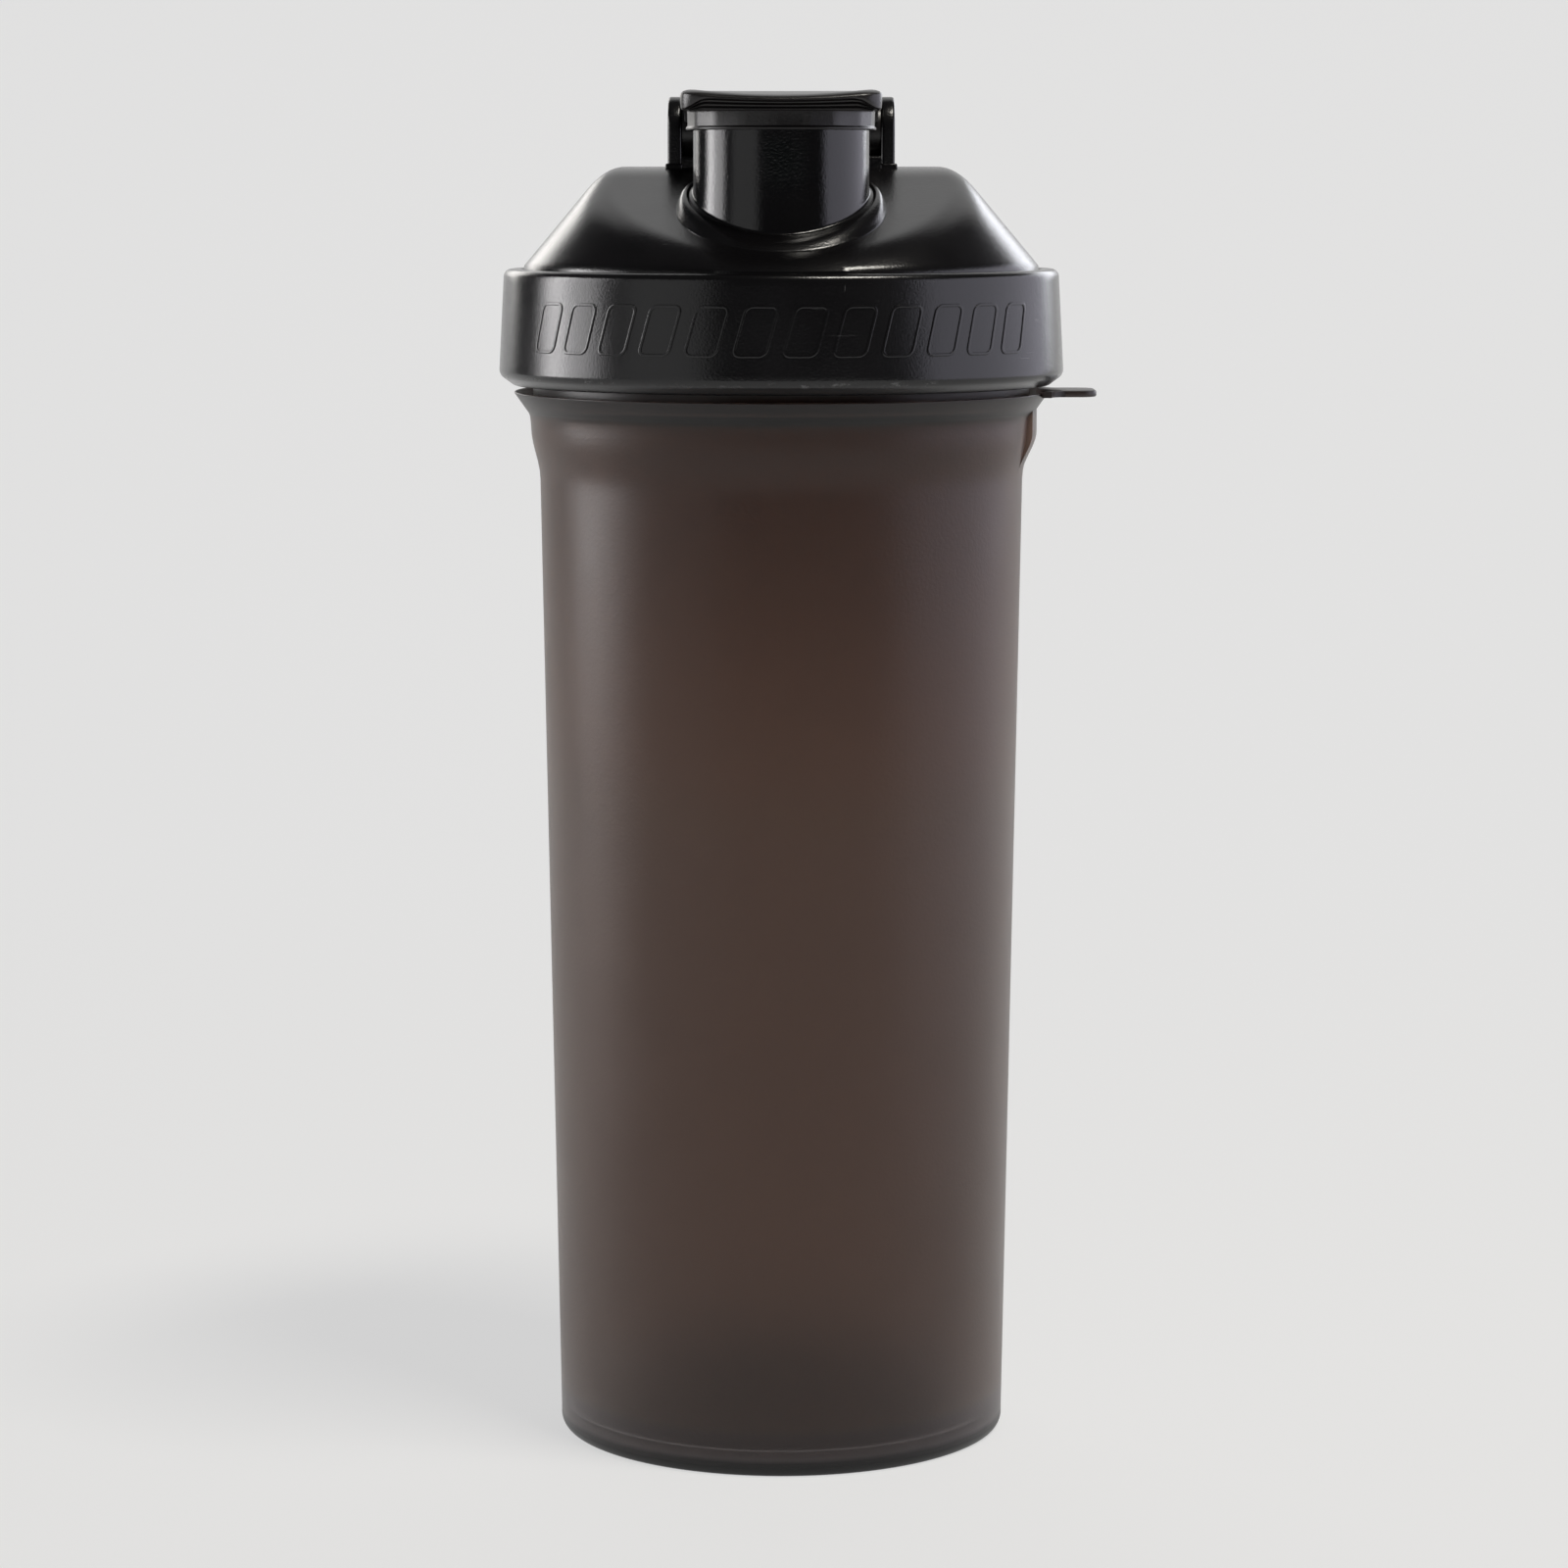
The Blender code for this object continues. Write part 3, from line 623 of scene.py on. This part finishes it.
def dome_height(x, y, cone_drop=0.0, top_drop=0.0):
    """Height of the dome; the drops give its inner sheet."""
    cone = CONE_HEIGHT - cone_drop - CONE_FALL * (math.hypot(x, y) - CONE_RADIUS)
    top = lower_of(PLATEAU, PLATEAU + FRONT_FALL * y, 2.0) - top_drop
    return lower_of(cone, top, 3.4)


lid_points = [
    (0, OUTER_MARK, 0), (DOME_FOOT, OUTER_MARK, 0), (DOME_FOOT + 0.1, 218.7, 0),
    (48.2, 218.7, 0.1), (48.4, BAND_TOP, 0.15), (51.45, BAND_TOP, 1.3), (BAND_RADIUS, 199.8, 0.9),
    (49.9, LID_BOTTOM, 0.15),
    (LID_INSIDE, LID_BOTTOM, 0.15), (LID_INSIDE, CHANNEL_TOP, 0.4), (FIN_OUTSIDE, CHANNEL_TOP, 0.4),
    (FIN_OUTSIDE, FIN_BOTTOM, 0.5), (FIN_INSIDE, FIN_BOTTOM, 0.5), (FIN_INSIDE, INNER_MARK, 0),
    (0, INNER_MARK, 0)]
lid = section(lid_points, closed=False, step=0.9)
stray = [vert for vert in lid.verts if BAND_TOP + 0.1 < vert.co.z < INNER_MARK - 0.1
         or INNER_MARK + 0.1 < vert.co.z < OUTER_MARK - 0.1]
bmesh.ops.dissolve_verts(lid, verts=stray)
spin(lid)
for vert in lid.verts:
    if vert.co.z > OUTER_MARK - 1:
        vert.co.z = dome_height(vert.co.x, vert.co.y)
    elif vert.co.z > INNER_MARK - 1:
        vert.co.z = dome_height(vert.co.x, vert.co.y, 3.1, 2.0)
print("lid turned:", len(lid.faces), "faces")

# %% [markdown]
# The spout is a straight tube that grows out of a soft roll. The roll is low and wide in front, higher
# and narrower at the sides, and it follows the slope of the dome. Rings are extruded one after another:
# those of the roll are set on the dome's height, each with its share of the roll's rise, then come those
# of the fillet between roll and tube, and those of the tube are level.

# %% Spout
SPOUT_Y, SPOUT_RADIUS, SPOUT_BORE, SPOUT_TOP = -22.0, 15.9, 13.5, 247.0
SPOUT_STEPS = 144
ROLL = [(21.0, -0.25), (20.75, 0.05), (20.5, 0.16), (20.2, 0.33), (19.9, 0.5), (19.6, 0.64),
        (19.2, 0.79), (18.7, 0.92), (18.1, 1.0), (17.4, 1.02), (16.9, 0.99), (16.6, 0.96)]
FILLET = [(16.4, 0.02), (16.2, 0.1), (16.04, 0.23), (15.94, 0.4), (SPOUT_RADIUS, 0.65)]
ROLL_INSIDE, POST_FOOT, POST_SUNK = 16.6, 18.8, 1.2


def roll_rise(x, y):
    """Rise of the roll over the dome: low in front of the spout, high at its sides."""
    return 1.1 + 1.7 * x * x / (x * x + (y - SPOUT_Y) ** 2)


def roll_spread(radius, x, y):
    """The roll is widest in front of the spout and narrower at its sides and back."""
    front = max(0.0, (SPOUT_Y - y) / math.hypot(x, y - SPOUT_Y))
    return min(radius, ROLL_INSIDE) + max(0.0, radius - ROLL_INSIDE) * (0.6 + 0.4 * front * front)


def spout_post():
    """Solid post: rings from inside the dome, up the roll and the tube, to the rounded mouth."""
    tube = [(SPOUT_RADIUS, 236.4 + 1.1 * step) for step in range(10)]
    mouth = [(SPOUT_RADIUS - 0.5 * (1 - math.cos(turn)), SPOUT_TOP - 0.5 + 0.5 * math.sin(turn))
             for turn in [math.radians(18 * step) for step in range(6)]]
    bm = bmesh.new()
    made = bmesh.ops.create_circle(bm, segments=SPOUT_STEPS, radius=POST_FOOT, cap_ends=True)["verts"]
    bmesh.ops.translate(bm, vec=(0, SPOUT_Y, 0), verts=made)
    for vert in made:
        vert.co.z = dome_height(vert.co.x, vert.co.y) - POST_SUNK
    edges = bm.edges[:]
    for number, (radius, level) in enumerate(ROLL + FILLET + tube + mouth):
        extruded = bmesh.ops.extrude_edge_only(bm, edges=edges)["geom"]
        made = [item for item in extruded if isinstance(item, bmesh.types.BMVert)]
        edges = [item for item in extruded if isinstance(item, bmesh.types.BMEdge)]
        for vert in made:
            reach = roll_spread(radius, vert.co.x, vert.co.y)
            flat = Vector((vert.co.x, vert.co.y - SPOUT_Y)).normalized() * reach
            x, y = flat.x, flat.y + SPOUT_Y
            if number < len(ROLL):
                level_here = dome_height(x, y) + level * roll_rise(x, y)
            elif number < len(ROLL) + len(FILLET):
                level_here = dome_height(x, y) + roll_rise(x, y) + level
            else:
                level_here = level
            vert.co = (x, y, level_here)
    bm.faces.new(made)
    bmesh.ops.recalc_face_normals(bm, faces=bm.faces)
    return bm


def bore_cutter():
    """Core pin of the bore, flared where it leaves the mouth."""
    points = [(0, 212, 0), (SPOUT_BORE, 212, 0), (SPOUT_BORE, 246.2, 0.6), (14.5, 248.2, 0), (0, 248.2, 0)]
    return spin(section(points, closed=False, step=4), SPOUT_STEPS, SPOUT_Y)


lid = combined(lid, spout_post(), "UNION")
lid = combined(lid, bore_cutter(), "DIFFERENCE")

# %% [markdown]
# Two ears carry the cap's hinge. Each starts as a box whose two top edges are rounded until they meet
# in a half circle. All its edges then get a small radius, and a low step runs round its foot. A low rib
# between the ears closes the gap under the hinge as seen from the front. Bars that lie across the bottle
# are needed for the sockets now, and for the cap's knuckle and pins later.

# %% Hinge ears
EAR_IN, EAR_OUT, EAR_RADIUS = 18.5, 21.1, 6.4
RIB_HALF, RIB_FRONT, RIB_BACK, RIB_LOW = 18.8, 6.2, 4.6, 236.0
SOCKET_RADIUS, SOCKET_SPAN = 2.75, 40.6


def hinge_bar(radius, span, segments):
    """A round bar on the hinge's axis, of a span across the bottle."""
    bm = bmesh.new()
    bmesh.ops.create_cone(bm, cap_ends=True, segments=segments, radius1=radius, radius2=radius, depth=span)
    bmesh.ops.rotate(bm, cent=(0, 0, 0), matrix=Matrix.Rotation(math.pi / 2, 3, "Y"), verts=bm.verts)
    bmesh.ops.translate(bm, vec=(0, PIVOT_Y, PIVOT_Z), verts=bm.verts)
    return bm


def ear(side):
    """One ear with a half-round top."""
    low_x, high_x = sorted((side * EAR_IN, side * EAR_OUT))
    top = PIVOT_Z + EAR_RADIUS
    bm = rounded_box((low_x, PIVOT_Y - EAR_RADIUS, PLATEAU - 1.2), (high_x, PIVOT_Y + EAR_RADIUS, top),
                     [(0, EAR_RADIUS - 0.01, 24, lambda middle: middle.z > PIVOT_Z)])
    return soften(bm, 1.15, 5, 1.2)


def ear_step(side):
    """The low step round an ear's foot."""
    low_x, high_x = sorted((side * (EAR_IN - 0.1), side * (EAR_OUT + 0.45)))
    bm = rounded_box((low_x, PIVOT_Y - EAR_RADIUS - 0.5, PLATEAU - 1.0),
                     (high_x, PIVOT_Y + EAR_RADIUS + 0.5, PLATEAU + 0.55))
    return soften(bm, 0.35, 3)


rib = rounded_box((-RIB_HALF, PIVOT_Y - RIB_FRONT, RIB_LOW), (RIB_HALF, PIVOT_Y - RIB_BACK, PLATEAU + 2.0),
                  [(0, 0.7, 4, lambda middle: middle.z > PLATEAU)])
lid = combined(lid, rib, "UNION")
for side in (-1, 1):
    lid = combined(lid, ear(side), "UNION")
    lid = combined(lid, ear_step(side), "UNION")
lid = combined(lid, hinge_bar(SOCKET_RADIUS, SOCKET_SPAN, 48), "DIFFERENCE")
lid = combined(lid, thread(LID_INSIDE, 47.0, 12, 2.0), "UNION")
finish_piece("screw_lid", lid, "lid", "black_lid", black_lid, "lid")

# %% [markdown]
# The grip band carries a low relief that helps a wet hand to turn it: a row of slanted bars, each drawn
# only by its outline, just over a tenth of a millimetre proud. One bar is a face with rounded corners. It
# is inset, its middle is taken out, and the frame that is left gets a thickness and is wrapped round the
# band.

# %% Relief on the band
BAR_WIDE, BAR_TALL, BAR_LINE, BAR_SLANT, BAR_COUNT, BAR_STEP = 6.4, 9.2, 0.55, 2.6, 12, 8.9
BAR_MIDDLE, BAR_PROUD, BAR_THICK = 209.2, 0.14, 0.5
BAND_TAPER, BAND_LOW = 0.0565, 200.4


def outlined_bar(wide):
    """The outline of one bar, flat on the XY plane."""
    bm = bmesh.new()
    bmesh.ops.create_grid(bm, x_segments=1, y_segments=1, size=0.5)
    bmesh.ops.scale(bm, vec=(wide, BAR_TALL, 1), verts=bm.verts)
    bmesh.ops.bevel(bm, geom=bm.verts[:], offset=1.5, offset_type="OFFSET", segments=6, profile=0.5,
                    affect="VERTICES", material=-1)
    cut_long_edges(bm, 0.9)
    middle = bm.faces[:]
    bmesh.ops.inset_region(bm, faces=middle, thickness=BAR_LINE, use_even_offset=True,
                           use_boundary=True)
    bmesh.ops.delete(bm, geom=middle, context="FACES")
    bmesh.ops.solidify(bm, geom=bm.faces[:], thickness=BAR_THICK)
    bmesh.ops.recalc_face_normals(bm, faces=bm.faces)
    low = min(vert.co.z for vert in bm.verts)
    bmesh.ops.translate(bm, vec=(0, 0, -low), verts=bm.verts)
    return soften(bm, 0.09, 2, 1.0)


relief = bmesh.new()
for number in range(BAR_COUNT):
    bar = outlined_bar(BAR_WIDE)
    for vert in bar.verts:
        along = vert.co.x + BAR_SLANT * vert.co.y / BAR_TALL + (number - (BAR_COUNT - 1) / 2) * BAR_STEP
        height = BAR_MIDDLE + vert.co.y
        face_radius = BAND_RADIUS - BAND_TAPER * (height - BAND_LOW)
        radius = face_radius + BAR_PROUD - BAR_THICK + vert.co.z
        turn = along / BAND_RADIUS
        vert.co = (radius * math.sin(turn), -radius * math.cos(turn), height)
    part = bpy.data.meshes.new("bar")
    bar.to_mesh(part)
    bar.free()
    relief.from_mesh(part)
    bpy.data.meshes.remove(part)
bmesh.ops.recalc_face_normals(relief, faces=relief.faces)
finish_piece("band_relief", relief, "lid", "black_lid", black_lid, "lid")

# %% [markdown]
# ## The flip cap
# The cap's top is a saddle: low in the middle of the thumb lip, higher at its corners and at the back.
# One outline is extruded upwards in layers. Each layer is pulled in a little, which leaves the stepped
# ridges that the thumb pushes against. Every ring remembers its share of the height, and the saddle's
# function sets the real height at the end.

# %% Cap plate
CAP_HALF, CAP_FRONT, CAP_BACK = 17.85, -44.0, 10.5
CAP_UNDER, CAP_FRONT_TOP = 247.6, 250.4
CORNER_RISE, BACK_RISE, BACK_FALL, FRONT_BOW = 1.15, 1.6, 0.12, 1.6
RIDGES = [(1.75, 0.0), (1.55, 0.05), (1.45, 0.1), (1.48, 0.15), (1.65, 0.19), (1.8, 0.21),
          (1.45, 0.23), (1.15, 0.27), (1.05, 0.32), (1.1, 0.37), (1.3, 0.4), (1.45, 0.42),
          (1.0, 0.44), (0.6, 0.48), (0.5, 0.53), (0.55, 0.57), (0.75, 0.59), (0.35, 0.61),
          (0.12, 0.63), (0.02, 0.66), (0.0, 0.7), (0.05, 0.75), (0.17, 0.8), (0.36, 0.85),
          (0.63, 0.895), (0.98, 0.935), (1.4, 0.967), (1.9, 0.99), (2.4, 1.0)]
CROWN = [(2.4 + 1.5 * step, 1.0) for step in range(1, 11)]


def cap_top(x, y):
    """Saddle height of the cap, which falls away behind the hinge."""
    back = min(1.0, (y - CAP_FRONT) / (PIVOT_Y - CAP_FRONT))
    saddle = CORNER_RISE * (x / CAP_HALF) ** 2 * (1 - back)
    return CAP_FRONT_TOP + saddle + BACK_RISE * back - BACK_FALL * max(0.0, y - PIVOT_Y + 2.0) ** 2


def curled(share, x):
    """Ridges curl down to the plate's underside at the ends of the lip."""
    curl = ease((abs(x) - 13.0) / 4.5) * (1 - ease((share - 0.6) / 0.14))
    return share * (1 - 0.92 * curl)


def cap_plate():
    """The plate, in layers of (inset from the outline, share of the height)."""
    bm = rounded_box((-CAP_HALF, CAP_FRONT, 0), (CAP_HALF, CAP_BACK, 1))
    bmesh.ops.delete(bm, geom=[face for face in bm.faces if face.calc_center_median().z > 0.01],
                     context="FACES")
    for corner, radius in ((CAP_FRONT, 3.6), (CAP_BACK, 0.8)):
        found = [vert for vert in bm.verts if abs(vert.co.y - corner) < 0.01]
        bmesh.ops.bevel(bm, geom=found, offset=radius, offset_type="OFFSET", segments=8, profile=0.5,
                        affect="VERTICES", material=-1)
    cut_long_edges(bm, 1.5)
    for vert in bm.verts:
        if vert.co.y < CAP_FRONT + 4:
            vert.co.y += FRONT_BOW * (vert.co.x / CAP_HALF) ** 2
    share = bm.verts.layers.float.new("share")
    top, before = bm.faces[:], 0.0
    middle, length = (CAP_FRONT + CAP_BACK) / 2, (CAP_BACK - CAP_FRONT) / 2
    for inset, level in RIDGES + CROWN:
        if (inset, level) != RIDGES[0]:
            extruded = bmesh.ops.extrude_face_region(bm, geom=top)["geom"]
            bmesh.ops.delete(bm, geom=top, context="FACES_ONLY")
            top = [item for item in extruded if isinstance(item, bmesh.types.BMFace)]
        for vert in {vert for face in top for vert in face.verts}:
            vert.co.x *= (1 - inset / CAP_HALF) / (1 - before / CAP_HALF)
            vert.co.y = middle + (vert.co.y - middle) * (1 - inset / length) / (1 - before / length)
            vert[share] = level
        before = inset
    for vert in bm.verts:
        level = curled(vert[share], vert.co.x)
        vert.co.z = CAP_UNDER + level * (cap_top(vert.co.x, vert.co.y) - CAP_UNDER)
    lowest = [edge for edge in bm.edges if len(edge.link_faces) == 1]
    bmesh.ops.holes_fill(bm, edges=lowest, sides=0)
    bmesh.ops.recalc_face_normals(bm, faces=bm.faces)
    return bm


cap = cap_plate()
print("cap plate:", len(cap.faces), "faces")

# %% [markdown]
# Below the plate hangs a skirt that covers the spout's mouth. Its outside has flat faces, so it is spun
# in few steps, with a small bead at its lower edge. At the back, a round knuckle lies between the ears
# and turns on two stub pins.

# %% Skirt, knuckle, boss and pins
SKIRT_STEPS, SKIRT_TURN, SKIRT_INSIDE = 18, 5.3, 16.3
SKIRT_LOW, SKIRT_HIGH = 244.4, 248.4
KNUCKLE_RADIUS, KNUCKLE_SPAN, WEB_HALF = 5.8, 36.9, 17.9
PIN_RADIUS, PIN_SPAN = 2.4, 39.8
BOSS_RADIUS, BOSS_LOW, BOSS_HIGH = 8.0, 245.6, 248.3


def skirt():
    """Faceted ring round the spout's mouth, with a round inside."""
    outline = [(0, SKIRT_LOW, 0), (17.2, SKIRT_LOW, 0.2), (17.25, 244.85, 0.2), (17.0, 245.05, 0.1),
               (17.1, SKIRT_HIGH, 0), (0, SKIRT_HIGH, 0)]
    outer = spin(section(outline, closed=False, step=9), SKIRT_STEPS)
    uprights = [edge for edge in outer.edges if len(edge.link_faces) == 2 and edge.calc_face_angle() > 0.3
                and abs(edge.verts[0].co.z - edge.verts[1].co.z) > 1.0]
    bmesh.ops.bevel(outer, geom=uprights, offset=0.9, offset_type="OFFSET", segments=3, profile=0.5,
                    affect="EDGES", material=-1)
    bmesh.ops.rotate(outer, cent=(0, 0, 0), matrix=Matrix.Rotation(math.radians(SKIRT_TURN), 3, "Z"),
                     verts=outer.verts)
    bmesh.ops.translate(outer, vec=(0, SPOUT_Y, 0), verts=outer.verts)
    core = [(0, 243.5, 0), (SKIRT_INSIDE, 243.5, 0), (SKIRT_INSIDE, CAP_UNDER, 0.5), (0, CAP_UNDER, 0)]
    inner = spin(section(core, closed=False, step=9), SPOUT_STEPS, SPOUT_Y)
    return combined(outer, inner, "DIFFERENCE")


def knuckle():
    """Round bar between the ears, with a web to the plate."""
    web = rounded_box((-WEB_HALF, -2.0, 246.2), (WEB_HALF, PIVOT_Y + 2.0, 248.8))
    bm = combined(hinge_bar(KNUCKLE_RADIUS, KNUCKLE_SPAN, 64), web, "UNION")
    return soften(bm, 0.2, 3, 0.9)


def boss():
    """Round boss under the plate that holds the plug."""
    outline = [(0, BOSS_LOW, 0), (BOSS_RADIUS, BOSS_LOW, 0.5), (BOSS_RADIUS, BOSS_HIGH, 0),
               (0, BOSS_HIGH, 0)]
    return spin(section(outline, closed=False), 64, SPOUT_Y)


stub_pins = soften(hinge_bar(PIN_RADIUS, PIN_SPAN, 40), 0.4, 3, 0.9)
for part in (knuckle(), skirt(), boss(), stub_pins):
    cap = combined(cap, part, "UNION")
finish_piece("flip_cap_top", cap, "flip_cap", "black_cap", black_cap, "flip_cap", sharp=32)

# %% [markdown]
# ## Seals and strainer
# Both seals are soft mouldings with round edges. The plug has two thin lips that wipe the bore. The
# strainer is a lattice: every face of a grid is inset and its middle removed, the web that is left gets
# its thickness, and it is trimmed round and joined to its rim.

# %% Seals
plug = section([(0, PLUG_LOW, 0), (12.0, PLUG_LOW, 0.8), (12.6, PLUG_LOW + 0.9, 0.2),
                (13.1, PLUG_LOW + 1.1, 0.15), (12.7, PLUG_LOW + 1.5, 0.15), (12.7, PLUG_HIGH - 1.0, 0.15),
                (13.1, PLUG_HIGH - 0.7, 0.15), (12.9, PLUG_HIGH, 0.2), (8.4, PLUG_HIGH, 0.2),
                (8.4, 245.3, 0.2), (0, 245.3, 0)], closed=False, step=0.8)
finish_piece("spout_plug", spin(plug, 128, SPOUT_Y), "flip_cap", "soft_seal", soft_black, "spout_seal")
ring = section([(44.0, SEAL_LOW, 0.4), (49.0, SEAL_LOW, 0.4), (49.0, SEAL_HIGH, 0.4),
                (44.0, SEAL_HIGH, 0.4)], step=0.9)
finish_piece("rim_seal", spin(ring), "lid_seal", "soft_seal", soft_black, "lid_seal")

# %% Strainer
STRAINER_RADIUS, RIM_THICK, GRID_LOW, GRID_HIGH = 41.8, 1.6, 208.0, 209.4
GRID_CELLS, GRID_WEB, GRID_HALF, GRID_RADIUS = 18, 1.25, 40.6, 40.5


def lattice():
    """A square sheet of square cells with even webs between them."""
    bm = bmesh.new()
    bmesh.ops.create_grid(bm, x_segments=GRID_CELLS, y_segments=GRID_CELLS, size=GRID_HALF)
    cells = bm.faces[:]
    bmesh.ops.inset_individual(bm, faces=cells, thickness=GRID_WEB / 2)
    bmesh.ops.delete(bm, geom=cells, context="FACES")
    bmesh.ops.solidify(bm, geom=bm.faces[:], thickness=GRID_HIGH - GRID_LOW)
    bmesh.ops.recalc_face_normals(bm, faces=bm.faces)
    low = min(vert.co.z for vert in bm.verts)
    bmesh.ops.translate(bm, vec=(0, 0, GRID_LOW - low), verts=bm.verts)
    return bm


disc = spin(section([(0, GRID_LOW - 1, 0), (GRID_RADIUS, GRID_LOW - 1, 0),
                     (GRID_RADIUS, GRID_HIGH + 1, 0), (0, GRID_HIGH + 1, 0)], closed=False, step=20), 128)
inner = STRAINER_RADIUS - RIM_THICK
rim = spin(section([(inner, STRAINER_LOW, 0.4), (STRAINER_RADIUS, STRAINER_LOW, 0.4),
                    (STRAINER_RADIUS, STRAINER_HIGH, 0.4), (inner, STRAINER_HIGH, 0.4)]))
grid = combined(lattice(), disc, "INTERSECT")
finish_piece("mixing_strainer", combined(rim, grid, "UNION"), "strainer", "black_strainer", black_grid,
             "strainer")

# %% [markdown]
# ## Studio
# A pale sweep stands under and behind the bottle. Most of its brightness is its own, and it grows
# towards the back, where less light falls on it, so the ground looks even. Only the high key light
# reaches matt surfaces, so the bottle throws one soft shadow. The other soft boxes show in the shiny
# plastic and through the cup: two tall ones on the left draw the crisp bright line on the black lid, a
# broad one on the right fills the other side, and two behind the bottle brighten its edges.

# %% Floor and backdrop
SWEEP_HALF, SWEEP_GREY = 1.1, 0.27
SWEEP_LINE = ((0, -2.5, 0), (0, 1.6, 0), (0, 1.6, 2.4))
NEAR_Y, FAR_Y, NEAR_GLOW, FAR_GLOW = -0.35, 1.45, 0.598, 0.662
pale = bpy.data.materials.new("pale_sweep")
pale.use_nodes = True
pale_shader = pale.node_tree.nodes["Principled BSDF"]
pale_shader.inputs["Base Color"].default_value = (SWEEP_GREY, SWEEP_GREY, SWEEP_GREY, 1)
pale_shader.inputs["Roughness"].default_value = 0.9
pale_shader.inputs["Specular IOR Level"].default_value = 0.0
pale_shader.inputs["Emission Color"].default_value = (1, 1, 1, 1)
split = add_node(pale.node_tree, "SeparateXYZ")
pale.node_tree.links.new(add_node(pale.node_tree, "TexCoord").outputs["Object"], split.inputs[0])
glow = remap(pale.node_tree, split.outputs["Y"], NEAR_Y, FAR_Y, NEAR_GLOW, FAR_GLOW)
pale.node_tree.links.new(glow, pale_shader.inputs["Emission Strength"])
sweep = bmesh.new()
run = [sweep.verts.new(point) for point in SWEEP_LINE]
for pair in zip(run, run[1:]):
    sweep.edges.new(pair)
bmesh.ops.bevel(sweep, geom=[run[1]], offset=0.9, offset_type="OFFSET", segments=24, profile=0.5,
                affect="VERTICES", material=-1)
bmesh.ops.translate(sweep, vec=(-SWEEP_HALF, 0, 0), verts=sweep.verts)
wide = bmesh.ops.extrude_edge_only(sweep, edges=sweep.edges[:])["geom"]
far_side = [item for item in wide if isinstance(item, bmesh.types.BMVert)]
bmesh.ops.translate(sweep, vec=(2 * SWEEP_HALF, 0, 0), verts=far_side)
bmesh.ops.recalc_face_normals(sweep, faces=sweep.faces)
floor_mesh = bpy.data.meshes.new("sweep")
sweep.to_mesh(floor_mesh)
sweep.free()
floor_mesh.shade_smooth()
floor_mesh.materials.append(pale)
floor = bpy.data.objects.new("sweep", floor_mesh)
bpy.context.scene.collection.objects.link(floor)

# %% Lights
BOTTLE_MIDDLE = Vector((AXIS.x, 0, 0.14))


def soft_box(name, azimuth, elevation, distance, width, height, radiance, colour=(1, 1, 1), floor=False):
    """A rectangular area light that faces the bottle. Azimuth 0 is the camera's side, + is right.

    Only with floor does it light matt surfaces, and so throw a shadow on the ground."""
    turn, lift = math.radians(azimuth), math.radians(elevation)
    way = Vector((math.sin(turn) * math.cos(lift), -math.cos(turn) * math.cos(lift), math.sin(lift)))
    light = bpy.data.lights.new(name, "AREA")
    light.shape, light.size, light.size_y = "RECTANGLE", width, height
    light.energy = math.pi * width * height * radiance
    light.color = colour
    item = bpy.data.objects.new(name, light)
    item.visible_diffuse = floor
    item.location = BOTTLE_MIDDLE + way * distance
    item.rotation_euler = (-way).to_track_quat("-Z", "Y").to_euler()
    bpy.context.scene.collection.objects.link(item)
    return item


soft_box("left_strip", -89, 11, 0.88, 0.34, 0.5, 4.6, (1.0, 0.985, 1.0))
soft_box("left_edge", -104, 11, 0.9, 0.2, 0.5, 8.5, (1.0, 0.985, 0.99))
soft_box("left_fill", -48, 8, 1.3, 0.86, 1.0, 0.55)
soft_box("right_box", 96, 8, 1.1, 1.75, 0.85, 1.4, (0.975, 0.96, 1.1))
soft_box("back_left", -153, 8, 1.6, 0.75, 0.9, 2.8, (1.03, 1.0, 0.96))
soft_box("back_right", 150, 8, 1.6, 0.75, 0.9, 2.9, (0.98, 1.0, 1.07))
soft_box("key", 48, 66, 1.3, 0.45, 0.26, 28.0, (1.0, 0.96, 0.88), True)
world = bpy.data.worlds.new("studio_dark")
world.use_nodes = True
dim, pale_grey = (0.05, 0.05, 0.053), (0.72, 0.72, 0.72)
seen = mix_colours(world.node_tree, add_node(world.node_tree, "LightPath").outputs["Is Camera Ray"],
                   dim, pale_grey)
world.node_tree.links.new(seen, world.node_tree.nodes["Background"].inputs["Color"])
bpy.context.scene.world = world
bpy.context.scene.view_settings.view_transform = "Standard"

# %% [markdown]
# The camera stands level with the lid, 85 cm away with a long lens, and looks down by a few degrees.

# %% Camera
CAMERA_PLACE, LOOK_DOWN = (AXIS.x + 0.0005, -0.852, 0.2356), 7.558
camera_data = bpy.data.cameras.new("camera")
camera_data.sensor_width, camera_data.lens = 36.0, 104.6
camera_data.clip_start = 0.01
camera = bpy.data.objects.new("camera", camera_data)
camera.location = CAMERA_PLACE
camera.rotation_euler = (math.radians(90 - LOOK_DOWN), 0, 0)
bpy.context.scene.collection.objects.link(camera)
bpy.context.scene.camera = camera
